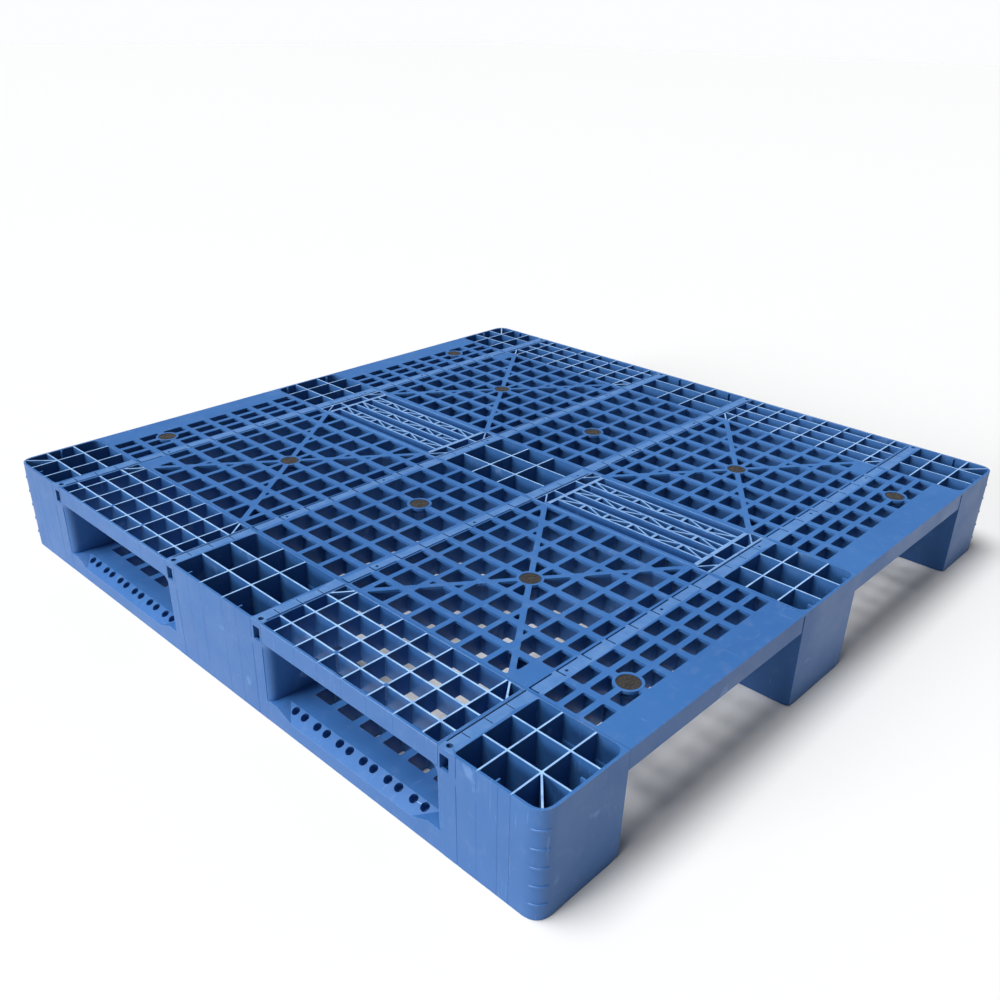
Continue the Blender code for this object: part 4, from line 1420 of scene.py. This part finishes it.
@dataclass
class Runner:
    """A bottom runner: soles inside the feet and, across each window, a rail with holed ramps."""

    line: Line
    finishes: Finishes
    plan: Plan = PLAN
    tall: float = 0.0330
    lip: float = 0.0215
    reach: float = 0.0215
    end: float = 0.0280
    from_leg: float = 0.0110
    sole: float = 0.0120
    tuck: float = 0.0160
    draft: float = 0.0021
    hole: float = 0.0062
    hole_gap: float = 0.0196
    slot: Point = (0.0340, 0.0340)
    hole_place: float = 0.78

    def ramp_cutter(self, face: float, inward: int, low: float, high: float) -> bpy.types.Mesh:
        """Args: face: x of the rail's side. inward: sign of x into the rail. low, high: range in y.

        Returns: What is taken off to leave a ramp with slanting ends.
        """
        over = 0.005
        drop = (self.tall - self.lip) * over / self.reach
        shrink = self.end * over / self.reach
        points = []
        for y, way in ((low, 1), (high, -1)):
            points.append((face - inward * over, y + way * (self.end + shrink), self.lip - drop))
            points.append((face - inward * over, y - way * shrink, self.tall + drop))
            points.append((face + inward * (self.reach + over), y - way * shrink, self.tall + drop))
        return hull(points)

    def rail(self, facing: int, x0: float, x1: float) -> bpy.types.Mesh:
        """Args: facing: sign of y. x0, x1: the rail's sides. Returns: The rail across one window."""
        plan = self.plan
        low_y, high_y = sorted((
            facing * (plan.span_low + plan.shoulder + plan.gap),
            facing * (plan.span_high - plan.shoulder - plan.gap),
        ))
        rail = block((x0, low_y - self.tuck, 0.0), (x1, high_y + self.tuck, self.tall))
        ramps, holes = [], []
        tilt = math.atan2(self.tall - self.lip, self.reach)
        for face, inward in ((x0, 1), (x1, -1)):
            ramps.append(self.ramp_cutter(face, inward, low_y + self.from_leg, high_y - self.from_leg))
            for k in range(plan.rows):
                middle = facing * (plan.grid_inner + (k + 0.5) * plan.row_pitch)
                for way in (-0.5, 0.5):
                    x = face + inward * self.reach * self.hole_place
                    z = self.lip + (self.tall - self.lip) * self.hole_place
                    place = Matrix.Translation((x, middle + way * self.hole_gap, z))
                    place = place @ Matrix.Rotation(-inward * tilt, 4, "Y")
                    holes.append(rod(self.hole, -0.014, 0.020, place))
        rail = cut(rail, ramps)
        centre = (x0 + x1) / 2
        for vertex in rail.vertices:
            share = 1 - vertex.co.z / plan.height
            vertex.co.x -= math.copysign(1, vertex.co.x - centre) * self.draft * share
        for k in range(plan.rows):
            y = facing * (plan.grid_inner + (k + 0.5) * plan.row_pitch)
            half_x, half_y = self.slot[0] / 2, self.slot[1] / 2
            loop = rounded(rectangle(centre - half_x, y - half_y, centre + half_x, y + half_y), 0.003, 3)
            holes.append(slab([loop], -0.01, self.tall + 0.01))
        return cut(rail, holes)

    def build(self) -> bpy.types.Object:
        """Returns: The finished runner."""
        plan = self.plan
        if self.line is Line.CENTRE:
            x0, x1 = -plan.middle_half, plan.middle_half
        else:
            x0, x1 = sorted((self.line.value * plan.leg_inner_x, self.line.value * plan.half))
        parts = [eased(self.rail(facing, x0 + 0.0003, x1 - 0.0003), 0.0008) for facing in (-1, 1)]
        # The rails' eased edges, the hole rims and the ramp lip, are painted paler: partly wear, partly painted
        # highlight.
        for mesh in parts:
            mark_wear_and_highlight(mesh, 0.0, 0.0013)
        inset = 0.0065
        jamb_in, jamb_out = plan.span_low + plan.shoulder, plan.span_high - plan.shoulder
        for y0, y1 in ((-plan.half, -jamb_out), (-jamb_in, jamb_in), (jamb_out, plan.half)):
            loop = rounded(rectangle(x0 + inset, y0 + inset, x1 - inset, y1 - inset), 0.017, 6)
            parts.append(eased(slab([loop], 0.0, self.sole), 0.0008))
            parts.append(block((x0 + 0.022, y0 + 0.001 + inset * (y0 == -plan.half), 0.0005),
                               (x1 - 0.022, y1 - 0.001 - inset * (y1 == plan.half), self.sole - 0.0005)))
        name = f"runner_{self.line.name.lower()}"
        return finish_piece(name, joined(parts), [self.finishes.plastic], Slot.PLASTIC)


@dataclass
class AntiSlipPlug:
    """A rubber plug: a round cap with a raised ring of blocks and a bar, on a stem."""

    name: str
    centre: Point
    finishes: Finishes
    plan: Plan = PLAN
    radius: float = 0.0152
    cap: float = 0.0060
    stem: float = 0.0096
    blocks: int = 11
    turn: float = 0.7

    def build(self) -> bpy.types.Object:
        """Returns: The finished plug."""
        top = self.plan.height - 0.0004
        base = Matrix.Identity(4)
        cap = eased(rod(self.radius, top - self.cap, top - 0.0006, base, 40), 0.0006)
        rim = eased(slab([circle((0, 0), self.radius - 0.0003, 40), circle((0, 0), self.radius - 0.0018, 40)],
                         top - 0.002, top), 0.0003)
        stem = rod(self.stem, top - self.cap - 0.016, top - self.cap + 0.001, base, 24)
        relief = ring_of_blocks(0.0102, self.blocks, (0.0030, 0.0036, 0.0010), self.finishes.emblem)
        relief.transform(Matrix.Translation((0, 0, top - 0.0005)))
        inner = slab([circle((0, 0), 0.0066, 28), circle((0, 0), 0.0058, 28)], top - 0.001, top - 0.0001)
        bar = block((-0.0046, -0.0011, top - 0.001), (0.0046, 0.0011, top))
        raised = joined([eased(relief, 0.0003), inner, eased(bar, 0.0003)])
        dark = joined([cap, rim, stem])
        count = len(dark.polygons)
        whole = joined([dark, raised])
        whole.transform(Matrix.Translation((*self.centre, 0)) @ Matrix.Rotation(self.turn, 4, "Z"))
        for face in whole.polygons:
            face.material_index = 0 if face.index < count else 1
        return finish_piece(self.name, whole, [self.finishes.rubber, self.finishes.emblem], Slot.RUBBER)


@dataclass
class TubeEnd:
    """The cap in one end of a steel tube: a flange with eased edges and a small grip recess."""

    name: str
    finishes: Finishes

    def build(self) -> bpy.types.Object:
        """Returns: The finished cap."""
        low, high = (Vector(corner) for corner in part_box(self.name))
        outward = 1 if low.x > 0 else -1
        face = high.x if outward > 0 else low.x
        flange = block((face - outward * 0.003, low.y, low.z), (face, high.y, high.z))
        middle = (low + high) / 2
        grip = block((face + outward * 0.01, middle.y - 0.0025, middle.z - 0.0060),
                     (face - outward * 0.0012, middle.y + 0.0025, middle.z + 0.0060))
        flange = eased(cut(flange, [grip]), 0.0006)
        wall = 0.0019
        body = block((face - outward * 0.0025, low.y + wall, low.z + wall),
                     (face - outward * 0.0150, high.y - wall, high.z - wall))
        return finish_piece(self.name, joined([flange, eased(body, 0.0005)]), [self.finishes.cap], Slot.CAP)


@dataclass
class SteelTube:
    """One rectangular steel tube with rounded long edges."""

    name: str
    finishes: Finishes
    wall: float = 0.0015
    corner: float = 0.0022

    def build(self) -> bpy.types.Object:
        """Returns: The finished tube."""
        low, high = (Vector(corner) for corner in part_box(self.name))
        outer = rounded(rectangle(low.y, low.z, high.y, high.z), self.corner, 4)
        inner = rectangle(low.y + self.wall, low.z + self.wall, high.y - self.wall, high.z - self.wall)
        mesh = slab([outer, rounded(inner, self.corner - self.wall, 2)], low.x, high.x)
        mesh.transform(Matrix(((0, 0, 1, 0), (1, 0, 0, 0), (0, 1, 0, 0), (0, 0, 0, 1))))
        return finish_piece(self.name, mesh, [self.finishes.steel], Slot.STEEL)


# ---- studio -------------------------------------------------------------------------------------


@dataclass
class Studio:
    """The floor, the soft lights and the camera."""

    lens: float = 36.0777
    at: tuple[float, float, float] = (-1.17765, -1.0745, 0.86197)
    right: tuple[float, float, float] = (0.690827, -0.722759, 0.019418)
    up: tuple[float, float, float] = (0.304437, 0.315136, 0.898893)
    back: tuple[float, float, float] = (-0.655802, -0.615068, 0.437739)
    world: float = 0.16
    horizon: float = 1.0
    floor: float = 24.0

    def light(self, name: str, away: Sequence[float], soft: float, strength: float) -> None:
        """Args: name: of the light. away: the way to it. soft: its width in degrees. strength: of it."""
        data = bpy.data.lights.new(name, "SUN")
        data.angle = math.radians(soft)
        data.energy = strength
        lamp = linked(name, data)
        lamp.location = Vector(away).normalized() * 3
        lamp.rotation_euler = (-Vector(away)).to_track_quat("-Z", "Y").to_euler()

    def surround(self) -> bpy.types.World:
        """Returns: The even grey surround, which turns white at the level of the floor's far edge."""
        world = bpy.data.worlds.new("studio")
        world.use_nodes = True
        nodes, links = world.node_tree.nodes, world.node_tree.links
        place = nodes.new("ShaderNodeTexCoord")
        split_way = nodes.new("ShaderNodeSeparateXYZ")
        links.new(place.outputs["Generated"], split_way.inputs[0])
        fade = nodes.new("ShaderNodeMapRange")
        for name, number in zip(("From Min", "From Max", "To Min", "To Max"), (0.03, 0.10, self.horizon, self.world)):
            fade.inputs[name].default_value = number
        links.new(split_way.outputs["Z"], fade.inputs["Value"])
        background = nodes["Background"]
        background.inputs["Color"].default_value = (0.97, 0.985, 1.0, 1.0)
        links.new(fade.outputs["Result"], background.inputs["Strength"])
        return world

    def build(self) -> None:
        """Adds the studio to the scene."""
        bm = bmesh.new()
        bmesh.ops.create_grid(bm, x_segments=1, y_segments=1, size=self.floor)
        mesh = bpy.data.meshes.new("floor")
        bm.to_mesh(mesh)
        bm.free()
        mesh.materials.append(StudioFloor().build())
        floor = linked("floor", mesh)
        floor.location.z = -0.0005
        floor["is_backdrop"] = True
        bpy.context.scene.world = self.surround()
        self.light("overhead", (-0.25, 0.15, 1.0), 30.0, 3.9)
        self.light("side", (-1.0, 0.25, 0.27), 20.0, 2.1)
        bpy.context.scene.view_settings.view_transform = "Standard"
        data = bpy.data.cameras.new("camera")
        data.lens = self.lens
        data.sensor_width = 36.0
        camera = linked("camera", data)
        turn = Matrix((self.right, self.up, self.back)).transposed().to_4x4()
        camera.matrix_world = Matrix.Translation(self.at) @ turn
        bpy.context.scene.camera = camera


def write_sizes() -> None:
    """Works out the box of the frame and the box of the finished pallet."""
    boxes = {"cad": CAD_BOX, "visual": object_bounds()}
    plain = {name: [[float(c) for c in corner] for corner in found] for name, found in boxes.items()}


def main() -> None:
    """Builds every piece of the pallet and then the studio around it."""
    logging.basicConfig(level=logging.INFO, format="%(message)s")
    finishes = Finishes.build()
    for side in (Line.LEFT, Line.RIGHT):
        DeckPanel(side, finishes).build()
    for line in Line:
        for row in Row:
            Leg(row, line, finishes).build()
        Runner(line, finishes).build()
    for row in (Row.FRONT, Row.REAR):
        for line in (Line.LEFT, Line.RIGHT):
            WindowSpan(row, line, finishes).build()
        RibbedSpan(row, finishes).build()
    for side, sign in (("left", -1), ("right", 1)):
        for k, (place, (x, y)) in enumerate(PLAN.plugs().items()):
            name = f"anti_slip_plug_{place}_{side}"
            AntiSlipPlug(name, (sign * x, y), finishes, turn=0.7 + 0.9 * k * sign).build()
    for place in ("front", "front_middle", "rear_middle", "rear"):
        SteelTube(f"cross_tube_{place}", finishes).build()
        for side in ("left", "right"):
            TubeEnd(f"tube_cap_{place}_{side}", finishes).build()
    Studio().build()
    write_sizes()


if __name__ == "__main__":
    main()
